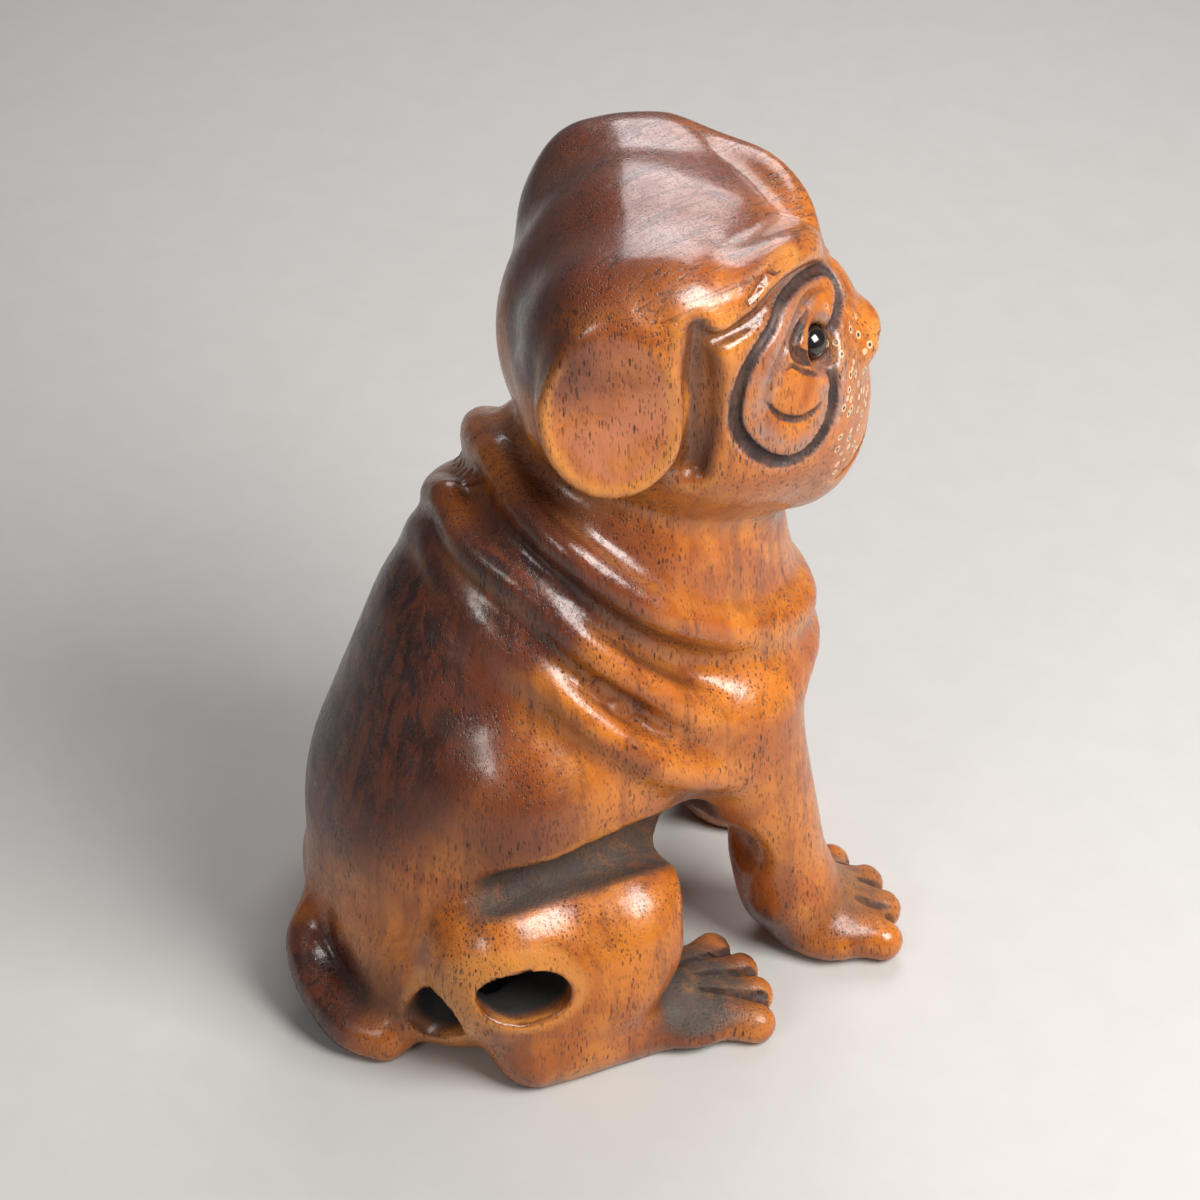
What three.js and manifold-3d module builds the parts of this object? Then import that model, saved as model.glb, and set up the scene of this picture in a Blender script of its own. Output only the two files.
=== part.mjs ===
// Seated puppy, a carved wooden netsuke with inlaid horn eyes.
// Millimetres, +Z up. The body looks along -Y, the soles rest on Z = 0, and the
// head is turned to the puppy's own right, which is the -X side.

import * as THREE from "three";
import { mergeVertices } from "three/addons/utils/BufferGeometryUtils.js";
import Module from "manifold-3d";

// Driving dimensions, in millimetres
const HEIGHT = 50; // soles to the top of the ears
const EYE_DIAMETER = 1.9; // the horn bead in each eye
const EYE_PROUD = 0.85; // how far the bead stands out of its seat
const EYE_CLEARANCE = 0.3; // between the bead and the wood round it
const CORD_HOLE_WIDTH = 5.2; // the wide mouth of the cord tunnel, in the haunch
const CORD_HOLE_HEIGHT = 3.3;
const CORD_EXIT_DIAMETER = 3.4; // its narrow mouth, in the rump
const CORD_DEPTH = 4.5; // from between the mouths to where the two bores meet

// How finely the carving is drawn
const SAMPLE_STEP = 0.5; // spacing of the samples that find the surface
const SURFACE_TRIANGLES = 8200; // faces left on the carved wood
const BORE_SIDES = 20;
const BEAD_SIDES = 16;

// The carving itself is drawn in shares of the height: one unit is a hundredth of it,
// and the ears reach CROWN units.
const CROWN = 100.6;
const UNIT = HEIGHT / CROWN;
const HEAD_TURN = THREE.MathUtils.degToRad(20);
const HEAD_AXIS_Y = -2;
const BELOW_SOLES = 1.5; // the form runs on this far below the soles, where it is cut flat

// Forms. Each is a function of a point: below zero inside the wood, above zero outside.

const norm = (x, y, z) => Math.sqrt(x * x + y * y + z * z);

const ball = ([cx, cy, cz], [rx, ry, rz]) => (x, y, z) => {
  const px = (x - cx) / rx;
  const py = (y - cy) / ry;
  const pz = (z - cz) / rz;
  const k = norm(px, py, pz);
  const g = norm(px / rx, py / ry, pz / rz);
  return g > 1e-9 ? (k * (k - 1)) / g : -Math.min(rx, ry, rz);
};

// A round limb between two points with a radius at each end.
const limb = ([ax, ay, az, ar], [bx, by, bz, br]) => {
  const [dx, dy, dz] = [bx - ax, by - ay, bz - az];
  const len2 = dx * dx + dy * dy + dz * dz;
  return (x, y, z) => {
    const px = x - ax;
    const py = y - ay;
    const pz = z - az;
    const t = Math.min(1, Math.max(0, (px * dx + py * dy + pz * dz) / len2));
    return norm(px - t * dx, py - t * dy, pz - t * dz) - ar - (br - ar) * t;
  };
};

// A smooth line through knots, each of any number of values.
const smoothLine = (knots, steps, closed = false) => {
  const n = knots.length;
  const knot = (i) => (closed ? knots[(i + n) % n] : knots[Math.min(n - 1, Math.max(0, i))]);
  const out = [];
  for (let i = 0; i < (closed ? n : n - 1); i++) {
    const [p, a, b, q] = [knot(i - 1), knot(i), knot(i + 1), knot(i + 2)];
    for (let s = 0; s < steps; s++) {
      const t = s / steps;
      out.push(
        a.map((v, j) => {
          const c1 = b[j] - p[j];
          const c2 = 2 * p[j] - 5 * v + 4 * b[j] - q[j];
          const c3 = 3 * v - p[j] - 3 * b[j] + q[j];
          return v + 0.5 * t * (c1 + t * (c2 + t * c3));
        }),
      );
    }
  }
  out.push(closed ? out[0] : knots[n - 1]);
  return out;
};

// A rope of limbs along a smooth line of knots [x, y, z, radius]. Further off than so many of its
// radii it no longer blends with anything.
const BLEND_REACHES = 4;
const rope = (knots, steps = 4, closed = false) => {
  const line = smoothLine(knots, steps, closed);
  const parts = line.slice(1).map((b, i) => limb(line[i], b));
  const reach = Math.max(...line.map((p) => p[3]));
  const lo = [0, 1, 2].map((j) => Math.min(...line.map((p) => p[j])) - reach);
  const hi = [0, 1, 2].map((j) => Math.max(...line.map((p) => p[j])) + reach);
  return (x, y, z) => {
    const far = Math.max(lo[0] - x, x - hi[0], lo[1] - y, y - hi[1], lo[2] - z, z - hi[2]);
    if (far > BLEND_REACHES * reach) return far;
    let d = Infinity;
    for (const part of parts) d = Math.min(d, part(x, y, z));
    return d;
  };
};
const join = (soft, ...forms) => (x, y, z) => {
  let d = forms[0](x, y, z);
  for (let i = 1; i < forms.length; i++) {
    const e = forms[i](x, y, z);
    const h = Math.max(soft - Math.abs(d - e), 0) / soft;
    d = Math.min(d, e) - h * h * soft * 0.25;
  }
  return d;
};
const carve = (soft, form, ...cuts) => {
  const negative = (f) => (x, y, z) => -f(x, y, z);
  const rest = join(soft, negative(form), ...cuts);
  return negative(rest);
};
const bothSides = (form) => (x, y, z) => form(-Math.abs(x), y, z);

const range = (n) => Array.from({ length: n }, (_, i) => i);

// Body, in body coordinates: x, y, z. Paired limbs are drawn on the puppy's right.

const torso = join(
  6,
  ball([0, 14, 22], [20, 21, 26]),
  ball([0, 16, 10], [18, 17.5, 13]),
  ball([0, 9, 41], [16.6, 19, 22]),
  ball([0, -9, 41], [15.5, 15.3, 17]),
  ball([0, -2.2, 57.5], [16.3, 18.6, 17.5]),
  bothSides(limb([-12.4, 14, 33.4, 9.5], [-11.8, 2, 35.4, 9])),
  bothSides(ball([-9.5, 21, 8], [12, 11.2, 9.5])),
);

const toes = (count, from, to, back, front, fan, [rootR, tipR], height) =>
  range(count).map((i) => {
    const s = i / (count - 1);
    const x = from + (to - from) * s;
    const reach = front + fan * (2 * s - 1) ** 2;
    return limb([x * 0.5 + (from + to) * 0.25, back, height, rootR], [x, reach, height - 0.6, tipR]);
  });

const frontLeg = join(
  3,
  limb([-11, -10.3, 36, 8.8], [-12.3, -18.7, 8, 5.2]),
  limb([-12.3, -18.7, 8, 5.2], [-12.3, -21.5, 4, 5]),
);
const frontPaw = join(
  0.9,
  ball([-12.8, -23.8, 2.8], [8.5, 6.8, 4.7]),
  ...toes(4, -5.4, -20.2, -23, -30, 2.4, [2.9, 2.4], 2.9),
);

const haunch = join(
  5,
  limb([-16.7, 18.5, 15, 10], [-17.3, 7.6, 14.8, 9.6]),
  limb([-18.5, 18, 10, 7.4], [-19, 8, 10, 7.4]),
  limb([-19, 4.8, 16, 7.5], [-21.5, 13, 6, 5.5]),
);
const hindFoot = join(
  0.9,
  limb([-22.7, 17, 3.6, 4.9], [-22, -1, 3, 4.7]),
  ball([-20.8, -2.5, 2.6], [7.8, 7, 3.8]),
  ...toes(4, -14.4, -27.4, -3, -10, 1.8, [2.6, 2.3], 2.7),
);

const tail = rope([
  [-13.5, 32, 2.6, 3.2],
  [-10.5, 35, 3, 3.1],
  [-5, 36.8, 5.2, 2.8],
  [-1, 36.6, 8.4, 2.6],
  [1, 33.6, 11.4, 2.6],
]);

// Loose skin hangs round the neck in three collars, high on the nape and low on the chest.
const neckFolds = [
  [
    [0, 10.6, 69.4, 1.8],
    [-8, 9.8, 67.2, 1.8],
    [-14, 7.8, 63.2, 1.9],
    [-17, 0.7, 56.9, 1.9],
    [-16, -6, 52, 1.9],
    [-13.6, -12.8, 48.3, 2],
    [-8.5, -20.6, 46.2, 1.9],
    [0, -22.8, 45.2, 1.6],
  ],
  [
    [0, 16.4, 65.2, 1.9],
    [-5.5, 15.4, 62, 1.9],
    [-11.6, 12.4, 58.4, 1.8],
    [-16.6, 7, 52.3, 1.8],
    [-18, -4, 42.2, 2],
    [-15.3, -12, 38.3, 2.2],
    [-8.5, -21, 39.5, 2],
    [0, -23.8, 39.5, 1.8],
  ],
  [
    [0, 19, 59.3, 1.9],
    [-5.5, 18.4, 57, 1.9],
    [-11.8, 14.8, 52, 1.9],
    [-17.2, 10.2, 46.8, 1.8],
    [-20.4, 3.5, 40.3, 1.9],
    [-19.6, -4, 34.6, 1.9],
    [-15.5, -11.5, 31, 1.6],
    [-10, -17, 30, 1],
  ],
].map((knots) => bothSides(rope(knots)));

const flankSlot = rope([
  [-20, 27.5, 24, 1],
  [-20.8, 21, 25.4, 2.2],
  [-20.4, 12, 26.8, 3],
  [-18.8, 4, 26.8, 3.6],
  [-15.5, -3, 24.6, 4.2],
]);
const bellyGap = join(
  4,
  limb([-40, -6.7, 16.6, 6.3], [40, -6.7, 16.6, 6.3]),
  limb([-40, -4.5, 6, 7.5], [40, -4.5, 6, 7.5]),
  limb([0, -40, 6, 3.4], [0, -5, 6, 4.5]),
  limb([0, -40, 15, 2], [0, -5, 15, 3.5]),
);

// Head, in head coordinates: forward, side (the puppy's right is positive) and up.

const inHeadFrame = (form) => {
  const [s, c] = [Math.sin(HEAD_TURN), Math.cos(HEAD_TURN)];
  return (x, y, z) => {
    const v = y - HEAD_AXIS_Y;
    return form(-x * s - v * c, -x * c + v * s, z);
  };
};
const bothCheeks = (form) => (forward, side, up) => form(forward, Math.abs(side), up);

const skull = join(
  7,
  ball([2, 0, 82], [15, 16.5, 16.5]),
  ball([9.5, 0, 77.5], [15.3, 17.5, 17.3]),
  limb([2, 12, 92, 6.3], [2, 0, 92, 7]),
  limb([10.4, 9, 88.4, 7.3], [10.8, 0, 88.6, 7.3]),
);
const muzzle = join(
  4,
  ball([18.9, 0, 72.6], [8.5, 10.8, 12.4]),
  ball([18.5, 0, 83], [7, 7, 7]),
  ball([16.4, 7.5, 79], [7.2, 6.4, 9]),
);
const nose = join(1.5, ball([25.8, 0, 81.6], [2.4, 3.4, 2.2]), ball([25.7, 2.4, 80.9], [1.9, 2, 1.7]));
const nostril = ball([27.6, 1.9, 81], [1.1, 0.9, 0.8]);
const mouth = rope([
  [28, 0, 78.6, 0.6],
  [28.3, 0, 75, 0.7],
  [27.1, 2.4, 71.6, 0.8],
  [25.2, 5.6, 69, 0.6],
  [23, 8, 67.8, 0.3],
]);
const browRoll = rope([
  [6.5, 15, 94, 2.6],
  [11, 13.2, 94.4, 2.8],
  [15.2, 9.2, 95, 2.8],
  [18, 4.5, 93.8, 2.8],
  [18.8, 0, 91.8, 2.8],
]);
const browCrease = rope([
  [7.8, 19, 92.6, 0.5],
  [10, 18, 92.2, 0.8],
  [13.4, 15.9, 93, 0.8],
  [16.6, 12.2, 94.3, 0.8],
  [19.6, 7.4, 93.4, 0.7],
  [21.6, 2.6, 90.6, 0.3],
]);

// An ear flap: a disc on edge, dished, narrower towards its top and leaning out towards its foot.
const EAR_NARROWING = 0.22;
const EAR_DISH = 0.7;
const EAR_LEAN = 0.04;
const flap = ([forward, side, up], [halfWidth, halfThickness, halfHeight], rim) => (x, y, z) => {
  const h = (z - up) / halfHeight;
  const w = (x - forward) / (halfWidth * (1 - EAR_NARROWING * Math.max(0, h)));
  const edge = (norm(w, h, 0) - 1) * halfWidth + rim;
  const dish = EAR_DISH * Math.max(0, 1 - w * w - h * h);
  const face = Math.abs(y - side + (z - up) * EAR_LEAN + dish) - halfThickness + rim;
  return norm(Math.max(edge, 0), Math.max(face, 0), 0) + Math.min(Math.max(edge, face), 0) - rim;
};
const ear = flap([-1.3, 18.6, 84.6], [7.9, 2, 10.9], 1.2);
const LEFT_EAR_FORWARD = 1.8; // the left ear is cut this much further forward than the right
const ears = (forward, side, up) =>
  side > 0 ? ear(forward, side, up) : ear(forward - LEFT_EAR_FORWARD, -side, up);
const earRoot = limb([-2.6, 14.3, 92.6, 5], [5, 14.3, 93, 5]);
const earPad = limb([-4.6, 12.4, 89, 5], [-4.4, 12, 78, 4.6]);
const earGroove = rope([
  [7.2, 19, 93.6, 0.5],
  [7.6, 18.9, 89, 1.2],
  [7.8, 18.4, 82, 1.4],
  [7.2, 17, 75.6, 1],
]);

// Deep rings of skin round each eye, the bag below it and the hollow that it sits in.
const EYE = [21, 9.6, 85.4];
const eyeRing = rope(
  [
    [20.9, 4, 90.9, 0.9],
    [17.2, 11.2, 93, 0.9],
    [14.4, 16, 90.5, 1],
    [12, 17.9, 86, 1.1],
    [11.8, 17.9, 80.4, 1.2],
    [14.8, 16.4, 76, 1.2],
    [19.4, 14.2, 75, 1.2],
    [22, 12.1, 79.4, 1.2],
    [22.2, 10.2, 84.9, 1.2],
    [23.1, 4.6, 87.7, 1],
  ],
  3,
  true,
);
const eyeBag = rope([
  [15, 16.7, 83.2, 0.3],
  [16.4, 16.1, 81, 0.7],
  [18.6, 15, 79.8, 0.9],
  [20.6, 13.6, 80.4, 0.6],
]);
const eyeHollow = ball([21.6, 10.9, 86.6], [2.4, 3, 3.4]);

const face = join(2, join(4, skull, muzzle), browRoll, nose, join(3, earPad, earRoot));
const cuts = [browCrease, eyeRing, eyeBag, eyeHollow, nostril, mouth];
const head = carve(
  0.9,
  carve(2.5, join(2.5, bothCheeks(face), ears), bothCheeks(earGroove)),
  ...cuts.map(bothCheeks),
);

const trunk = join(4, join(5, torso, bothSides(frontLeg)), ...neckFolds);
const seated = carve(2, join(1.5, trunk, bothSides(haunch)), bellyGap);
const figure = join(
  2.5,
  carve(0.8, seated, bothSides(flankSlot)),
  bothSides(frontPaw),
  bothSides(hindFoot),
  tail,
  inHeadFrame(head),
);
const dog = (x, y, z) => Math.max(figure(x, y, z), -z - BELOW_SOLES);

// Finding the surface

const BLOCK = 4; // samples along a block that is skipped when the surface is far from it
const SETTLING_ROUNDS = 3;
const EVENNESS = 1e-5; // how strongly short edges go first when neighbouring vertices are joined
const LEAST_FACING = 0.3; // cosine of the furthest that a face may turn when they are

// The form is sampled on a grid; each grid cell that the surface crosses gets one vertex, and the
// four cells round each crossed edge share a face.
function surfaceOf(form, low, high, step) {
  const size = low.map((v, j) => Math.ceil((high[j] - v) / step) + 1);
  const [nx, ny, nz] = size;
  const at = (i, j, k) => (i * ny + j) * nz + k;
  const value = new Float32Array(nx * ny * nz);
  const coord = (j, i) => low[j] + i * step;
  const eachIn = (from, to, visit) => {
    for (let i = from[0]; i < to[0]; i++)
      for (let j = from[1]; j < to[1]; j++) for (let k = from[2]; k < to[2]; k++) visit(i, j, k);
  };
  const blocks = size.map((n) => Math.ceil(n / BLOCK));
  eachIn([0, 0, 0], blocks, (bi, bj, bk) => {
    const from = [bi, bj, bk].map((b) => b * BLOCK);
    const to = from.map((f, q) => Math.min(size[q], f + BLOCK));
    const middle = form(...from.map((f, q) => coord(q, f + BLOCK / 2)));
    const clear = Math.abs(middle) > step * BLOCK * 1.4;
    eachIn(from, to, (i, j, k) => {
      value[at(i, j, k)] = clear ? middle : form(coord(0, i), coord(1, j), coord(2, k));
    });
  });
  fillPinches(value, size, at);

  const corners = range(8).map((c) => [(c >> 2) & 1, (c >> 1) & 1, c & 1]);
  const crossed = crossedCell(value, at);
  const vertexOf = new Int32Array(nx * ny * nz).fill(-1);
  const points = [];
  for (let i = 0; i < nx - 1; i++)
    for (let j = 0; j < ny - 1; j++)
      for (let k = 0; k < nz - 1; k++) {
        if (!crossed(i, j, k)) continue;
        const v = corners.map(([a, b, c]) => value[at(i + a, j + b, k + c)]);
        const sum = [0, 0, 0];
        let crossings = 0;
        for (let c = 0; c < 8; c++)
          for (const bit of [4, 2, 1]) {
            if (c & bit || v[c] < 0 === v[c | bit] < 0) continue;
            const t = v[c] / (v[c] - v[c | bit]);
            corners[c].forEach((s, q) => (sum[q] += s + (corners[c | bit][q] - s) * t));
            crossings++;
          }
        vertexOf[at(i, j, k)] = points.length / 3;
        [i, j, k].forEach((s, q) => points.push(coord(q, s + sum[q] / crossings)));
      }
  settle(points, form, step);

  const faces = [];
  const nextAlong = [at(1, 0, 0), at(0, 1, 0), at(0, 0, 1)];
  const around = [
    [[0, 1, 0], [0, 0, 1]],
    [[0, 0, 1], [1, 0, 0]],
    [[1, 0, 0], [0, 1, 0]],
  ];
  for (let i = 1; i < nx - 1; i++)
    for (let j = 1; j < ny - 1; j++)
      for (let k = 1; k < nz - 1; k++)
        for (let axis = 0; axis < 3; axis++) {
          const here = value[at(i, j, k)] < 0;
          const next = value[at(i, j, k) + nextAlong[axis]] < 0;
          if (here === next) continue;
          const [u, w] = around[axis];
          const cell = (a, b) => vertexOf[at(...[i, j, k].map((s, q) => s - a * u[q] - b * w[q]))];
          const quad = [cell(1, 1), cell(0, 1), cell(0, 0), cell(1, 0)];
          if (!here) quad.reverse();
          const d = (p, q) =>
            Math.hypot(...range(3).map((m) => points[3 * quad[p] + m] - points[3 * quad[q] + m]));
          if (d(0, 2) < d(1, 3)) faces.push([quad[0], quad[1], quad[2]], [quad[0], quad[2], quad[3]]);
          else faces.push([quad[0], quad[1], quad[3]], [quad[1], quad[2], quad[3]]);
        }
  return { points, faces };
}

// Tells whether the surface passes between the eight corners of a grid cell.
const crossedCell = (value, at) => {
  const offsets = range(8).map((c) => at((c >> 2) & 1, (c >> 1) & 1, c & 1));
  return (i, j, k) => {
    const base = at(i, j, k);
    const first = value[base] < 0;
    for (let c = 1; c < 8; c++) if (value[base + offsets[c]] < 0 !== first) return true;
    return false;
  };
};

// Wood that meets only across a corner is filled in, so that the surface never touches itself.
function fillPinches(value, [nx, ny, nz], at) {
  const solid = (i, j, k) => value[at(i, j, k)] < 0;
  const crossed = crossedCell(value, at);
  const planes = [
    [[1, 0, 0], [0, 1, 0]],
    [[0, 1, 0], [0, 0, 1]],
    [[0, 0, 1], [1, 0, 0]],
  ];
  for (let again = true; again; ) {
    again = false;
    for (let i = 0; i < nx - 1; i++)
      for (let j = 0; j < ny - 1; j++)
        for (let k = 0; k < nz - 1; k++) {
          if (!crossed(i, j, k)) continue;
          for (const [u, w] of planes) {
            const [a, b, c, d] = [
              [i, j, k],
              [i + u[0], j + u[1], k + u[2]],
              [i + w[0], j + w[1], k + w[2]],
              [i + u[0] + w[0], j + u[1] + w[1], k + u[2] + w[2]],
            ];
            if (solid(...a) !== solid(...d) || solid(...b) !== solid(...c)) continue;
            if (solid(...a) === solid(...b)) continue;
            value[at(...(solid(...a) ? b : a))] = -1e-3;
            again = true;
          }
          for (let c = 0; c < 4; c++) {
            const p = [i + (c >> 1), j + (c & 1), k];
            const q = [i + 1 - (c >> 1), j + 1 - (c & 1), k + 1];
            if (solid(...p) !== solid(...q)) continue;
            const others = range(8)
              .map((m) => [i + (m >> 2), j + ((m >> 1) & 1), k + (m & 1)])
              .filter((o) => o.join() !== p.join() && o.join() !== q.join());
            if (others.some((o) => solid(...o) === solid(...p))) continue;
            value[at(...(solid(...p) ? others[0] : p))] = -1e-3;
            again = true;
          }
        }
  }
}

// Moves points along the slope of the form until they lie on its surface.
function settle(points, form, step) {
  const e = step * 0.05;
  for (let round = 0; round < SETTLING_ROUNDS; round++)
    for (let i = 0; i < points.length; i += 3) {
      const [x, y, z] = points.slice(i, i + 3);
      const g = [
        form(x + e, y, z) - form(x - e, y, z),
        form(x, y + e, z) - form(x, y - e, z),
        form(x, y, z + e) - form(x, y, z - e),
      ].map((v) => v / (2 * e));
      const slope = Math.max(0.3, g[0] ** 2 + g[1] ** 2 + g[2] ** 2);
      const move = Math.min(step, Math.max(-step, form(x, y, z) / slope)) * 0.5;
      g.forEach((v, q) => (points[i + q] -= v * move));
    }
}

// Joins neighbouring vertices of a closed surface, flattest places first, until few enough faces are
// left. Each vertex carries the planes of the faces it has stood for as a sum of squares.
function thin({ points, faces }, target) {
  const count = points.length / 3;
  const facesAt = range(count).map(() => new Set());
  const squares = range(count).map(() => new Float64Array(10));
  const alive = faces.map(() => true);
  const normalOf = (a, b, c) => {
    const [ux, uy, uz] = range(3).map((m) => points[3 * b + m] - points[3 * a + m]);
    const [vx, vy, vz] = range(3).map((m) => points[3 * c + m] - points[3 * a + m]);
    return [uy * vz - uz * vy, uz * vx - ux * vz, ux * vy - uy * vx];
  };
  faces.forEach((f, i) => {
    const n = normalOf(...f);
    const area = norm(...n);
    if (area < 1e-12) return f.forEach((v) => facesAt[v].add(i));
    const [a, b, c] = n.map((v) => v / area);
    const d = -(a * points[3 * f[0]] + b * points[3 * f[0] + 1] + c * points[3 * f[0] + 2]);
    const plane = [a * a, a * b, a * c, a * d, b * b, b * c, b * d, c * c, c * d, d * d];
    for (const v of f) {
      facesAt[v].add(i);
      plane.forEach((p, m) => (squares[v][m] += p * area));
    }
  });

  const cost = (q, [x, y, z]) =>
    q[0] * x * x + 2 * q[1] * x * y + 2 * q[2] * x * z + 2 * q[3] * x + q[4] * y * y +
    2 * q[5] * y * z + 2 * q[6] * y + q[7] * z * z + 2 * q[8] * z + q[9];
  const best = (q, u, v) => {
    const mid = range(3).map((m) => (points[3 * u + m] + points[3 * v + m]) / 2);
    const w = 1e-3 * (q[0] + q[4] + q[7]); // holds the answer near the edge's middle on flat wood
    const [a, b, c, e, f, i] = [q[0] + w, q[1], q[2], q[4] + w, q[5], q[7] + w];
    const [r, s, t] = [w * mid[0] - q[3], w * mid[1] - q[6], w * mid[2] - q[8]];
    const det = a * (e * i - f * f) - b * (b * i - f * c) + c * (b * f - e * c);
    const p = [
      (r * (e * i - f * f) - b * (s * i - f * t) + c * (s * f - e * t)) / det,
      (a * (s * i - f * t) - r * (b * i - f * c) + c * (b * t - s * c)) / det,
      (a * (e * t - s * f) - b * (b * t - s * c) + r * (b * f - e * c)) / det,
    ];
    const length = Math.hypot(...range(3).map((m) => points[3 * u + m] - points[3 * v + m]));
    const off = Math.hypot(...p.map((x, m) => x - mid[m]));
    return off < length ? p : mid;
  };

  const heap = [];
  const push = (item) => {
    let i = heap.push(item) - 1;
    while (i > 0 && heap[(i - 1) >> 1].cost > heap[i].cost) {
      [heap[i], heap[(i - 1) >> 1]] = [heap[(i - 1) >> 1], heap[i]];
      i = (i - 1) >> 1;
    }
  };
  const pop = () => {
    const top = heap[0];
    const last = heap.pop();
    if (heap.length) {
      heap[0] = last;
      for (let i = 0; ; ) {
        const [l, r] = [2 * i + 1, 2 * i + 2];
        let m = i;
        if (l < heap.length && heap[l].cost < heap[m].cost) m = l;
        if (r < heap.length && heap[r].cost < heap[m].cost) m = r;
        if (m === i) break;
        [heap[i], heap[m]] = [heap[m], heap[i]];
        i = m;
      }
    }
    return top;
  };
  const stamp = new Uint32Array(count);
  const offer = (u, v) => {
    const q = squares[u].map((s, m) => s + squares[v][m]);
    const p = best(q, u, v);
    const long = Math.hypot(...range(3).map((m) => points[3 * u + m] - points[3 * v + m]));
    push({ cost: cost(q, p) + EVENNESS * long ** 4, u, v, p, q, when: stamp[u] + stamp[v] });
  };
  const ring = (v) => {
    const out = new Set();
    for (const f of facesAt[v]) for (const w of faces[f]) if (w !== v) out.add(w);
    return out;
  };
  for (let v = 0; v < count; v++) for (const w of ring(v)) if (v < w) offer(v, w);

  let left = faces.length;
  while (left > target && heap.length) {
    const { u, v, p, q, when } = pop();
    if (stamp[u] + stamp[v] !== when || !facesAt[u].size || !facesAt[v].size) continue;
    const ringU = ring(u);
    const shared = [...ring(v)].filter((w) => ringU.has(w));
    if (shared.length !== 2 || !ringU.has(v)) continue;
    const both = [...facesAt[u]].filter((f) => facesAt[v].has(f));
    const kept = [...facesAt[u], ...facesAt[v]].filter((f) => !both.includes(f));
    const before = kept.map((f) => normalOf(...faces[f]));
    const old = [u, v].map((w) => points.slice(3 * w, 3 * w + 3));
    p.forEach((x, m) => (points[3 * u + m] = points[3 * v + m] = x));
    const turned = kept.some((f, i) => {
      const n = normalOf(...faces[f]);
      const dot = n.reduce((s, x, m) => s + x * before[i][m], 0);
      return dot < LEAST_FACING * norm(...n) * norm(...before[i]) || norm(...n) < 1e-4;
    });
    if (turned || shared.some((w) => facesAt[w].size <= 3)) {
      old.forEach((o, i) => o.forEach((x, m) => (points[3 * [u, v][i] + m] = x)));
      continue;
    }
    for (const f of both) {
      alive[f] = false;
      for (const w of faces[f]) facesAt[w].delete(f);
      left--;
    }
    for (const f of facesAt[v]) {
      faces[f] = faces[f].map((w) => (w === v ? u : w));
      facesAt[u].add(f);
    }
    facesAt[v].clear();
    squares[u] = q;
    const changed = ring(u);
    stamp[u] += 1;
    stamp[v] += 1;
    for (const w of changed) offer(u, w);
  }
  return { points, faces: faces.filter((_, i) => alive[i]) };
}

// Solids

const wasm = await Module();
wasm.setup();

function solidOf(geometry) {
  const bare = geometry.clone();
  bare.deleteAttribute("normal");
  bare.deleteAttribute("uv");
  const merged = mergeVertices(bare, 1e-4);
  const vertProperties = merged.getAttribute("position").array;
  return new wasm.Manifold(
    new wasm.Mesh({ numProp: 3, vertProperties, triVerts: new Uint32Array(merged.index.array) }),
  );
}

function geometryOf(solid) {
  const mesh = solid.getMesh();
  const geometry = new THREE.BufferGeometry();
  geometry.setAttribute("position", new THREE.BufferAttribute(mesh.vertProperties, 3));
  geometry.setIndex(new THREE.BufferAttribute(mesh.triVerts, 1));
  geometry.computeVertexNormals();
  return geometry;
}

const toBody = ([forward, side, up]) => {
  const [sin, cos] = [Math.sin(HEAD_TURN), Math.cos(HEAD_TURN)];
  return [-forward * sin - side * cos, HEAD_AXIS_Y - forward * cos + side * sin, up];
};

// The wood's surface on the way from one point towards another, in units.
function surfacePoint(from, towards) {
  const [a, b] = [new THREE.Vector3(...from), new THREE.Vector3(...towards)];
  let [out, within] = [0, 1];
  for (let i = 0; i < 40; i++) {
    const t = (out + within) / 2;
    if (dog(...a.clone().lerp(b, t).toArray()) > 0) out = t;
    else within = t;
  }
  return a.lerp(b, out);
}

// The cord tunnel: a wide bore for the knot and a narrow one for the cord, which meet inside.
const CORD_MOUTHS = { wide: [-26.4, 19.6, 14.6], narrow: [-19.4, 28.4, 8] };
const CORD_INWARDS = new THREE.Vector3(0.55, -0.6, 0.58).normalize();
const MOUTH_OVERRUN = 1; // millimetres that a cut runs on past the wood's surface

// A round-ended bore from beyond its mouth to its end, width across and height up and down.
function bore(mouth, end, width, height) {
  const along = mouth.clone().sub(end).normalize();
  const out = mouth.clone().addScaledVector(along, MOUTH_OVERRUN);
  const across = new THREE.Vector3(0, 0, 1).cross(along).normalize();
  const place = new THREE.Matrix4()
    .makeBasis(across, along, across.clone().cross(along))
    .scale(new THREE.Vector3(width / 2, 1, height / 2))
    .setPosition(end);
  const cylinder = new THREE.CylinderGeometry(1, 1, out.distanceTo(end), BORE_SIDES);
  cylinder.translate(0, out.distanceTo(end) / 2, 0).applyMatrix4(place);
  const round = new THREE.SphereGeometry(1, BORE_SIDES, BORE_SIDES / 2);
  round.scale(1, Math.min(width, height) / 2, 1).applyMatrix4(place);
  return solidOf(cylinder).add(solidOf(round));
}

function cordTunnel() {
  const [wide, narrow] = [CORD_MOUTHS.wide, CORD_MOUTHS.narrow].map((m) =>
    new THREE.Vector3(...m).multiplyScalar(UNIT),
  );
  const meeting = wide.clone().add(narrow).multiplyScalar(0.5).addScaledVector(CORD_INWARDS, CORD_DEPTH);
  return bore(wide, meeting, CORD_HOLE_WIDTH, CORD_HOLE_HEIGHT).add(
    bore(narrow, meeting, CORD_EXIT_DIAMETER, CORD_EXIT_DIAMETER),
  );
}

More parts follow.
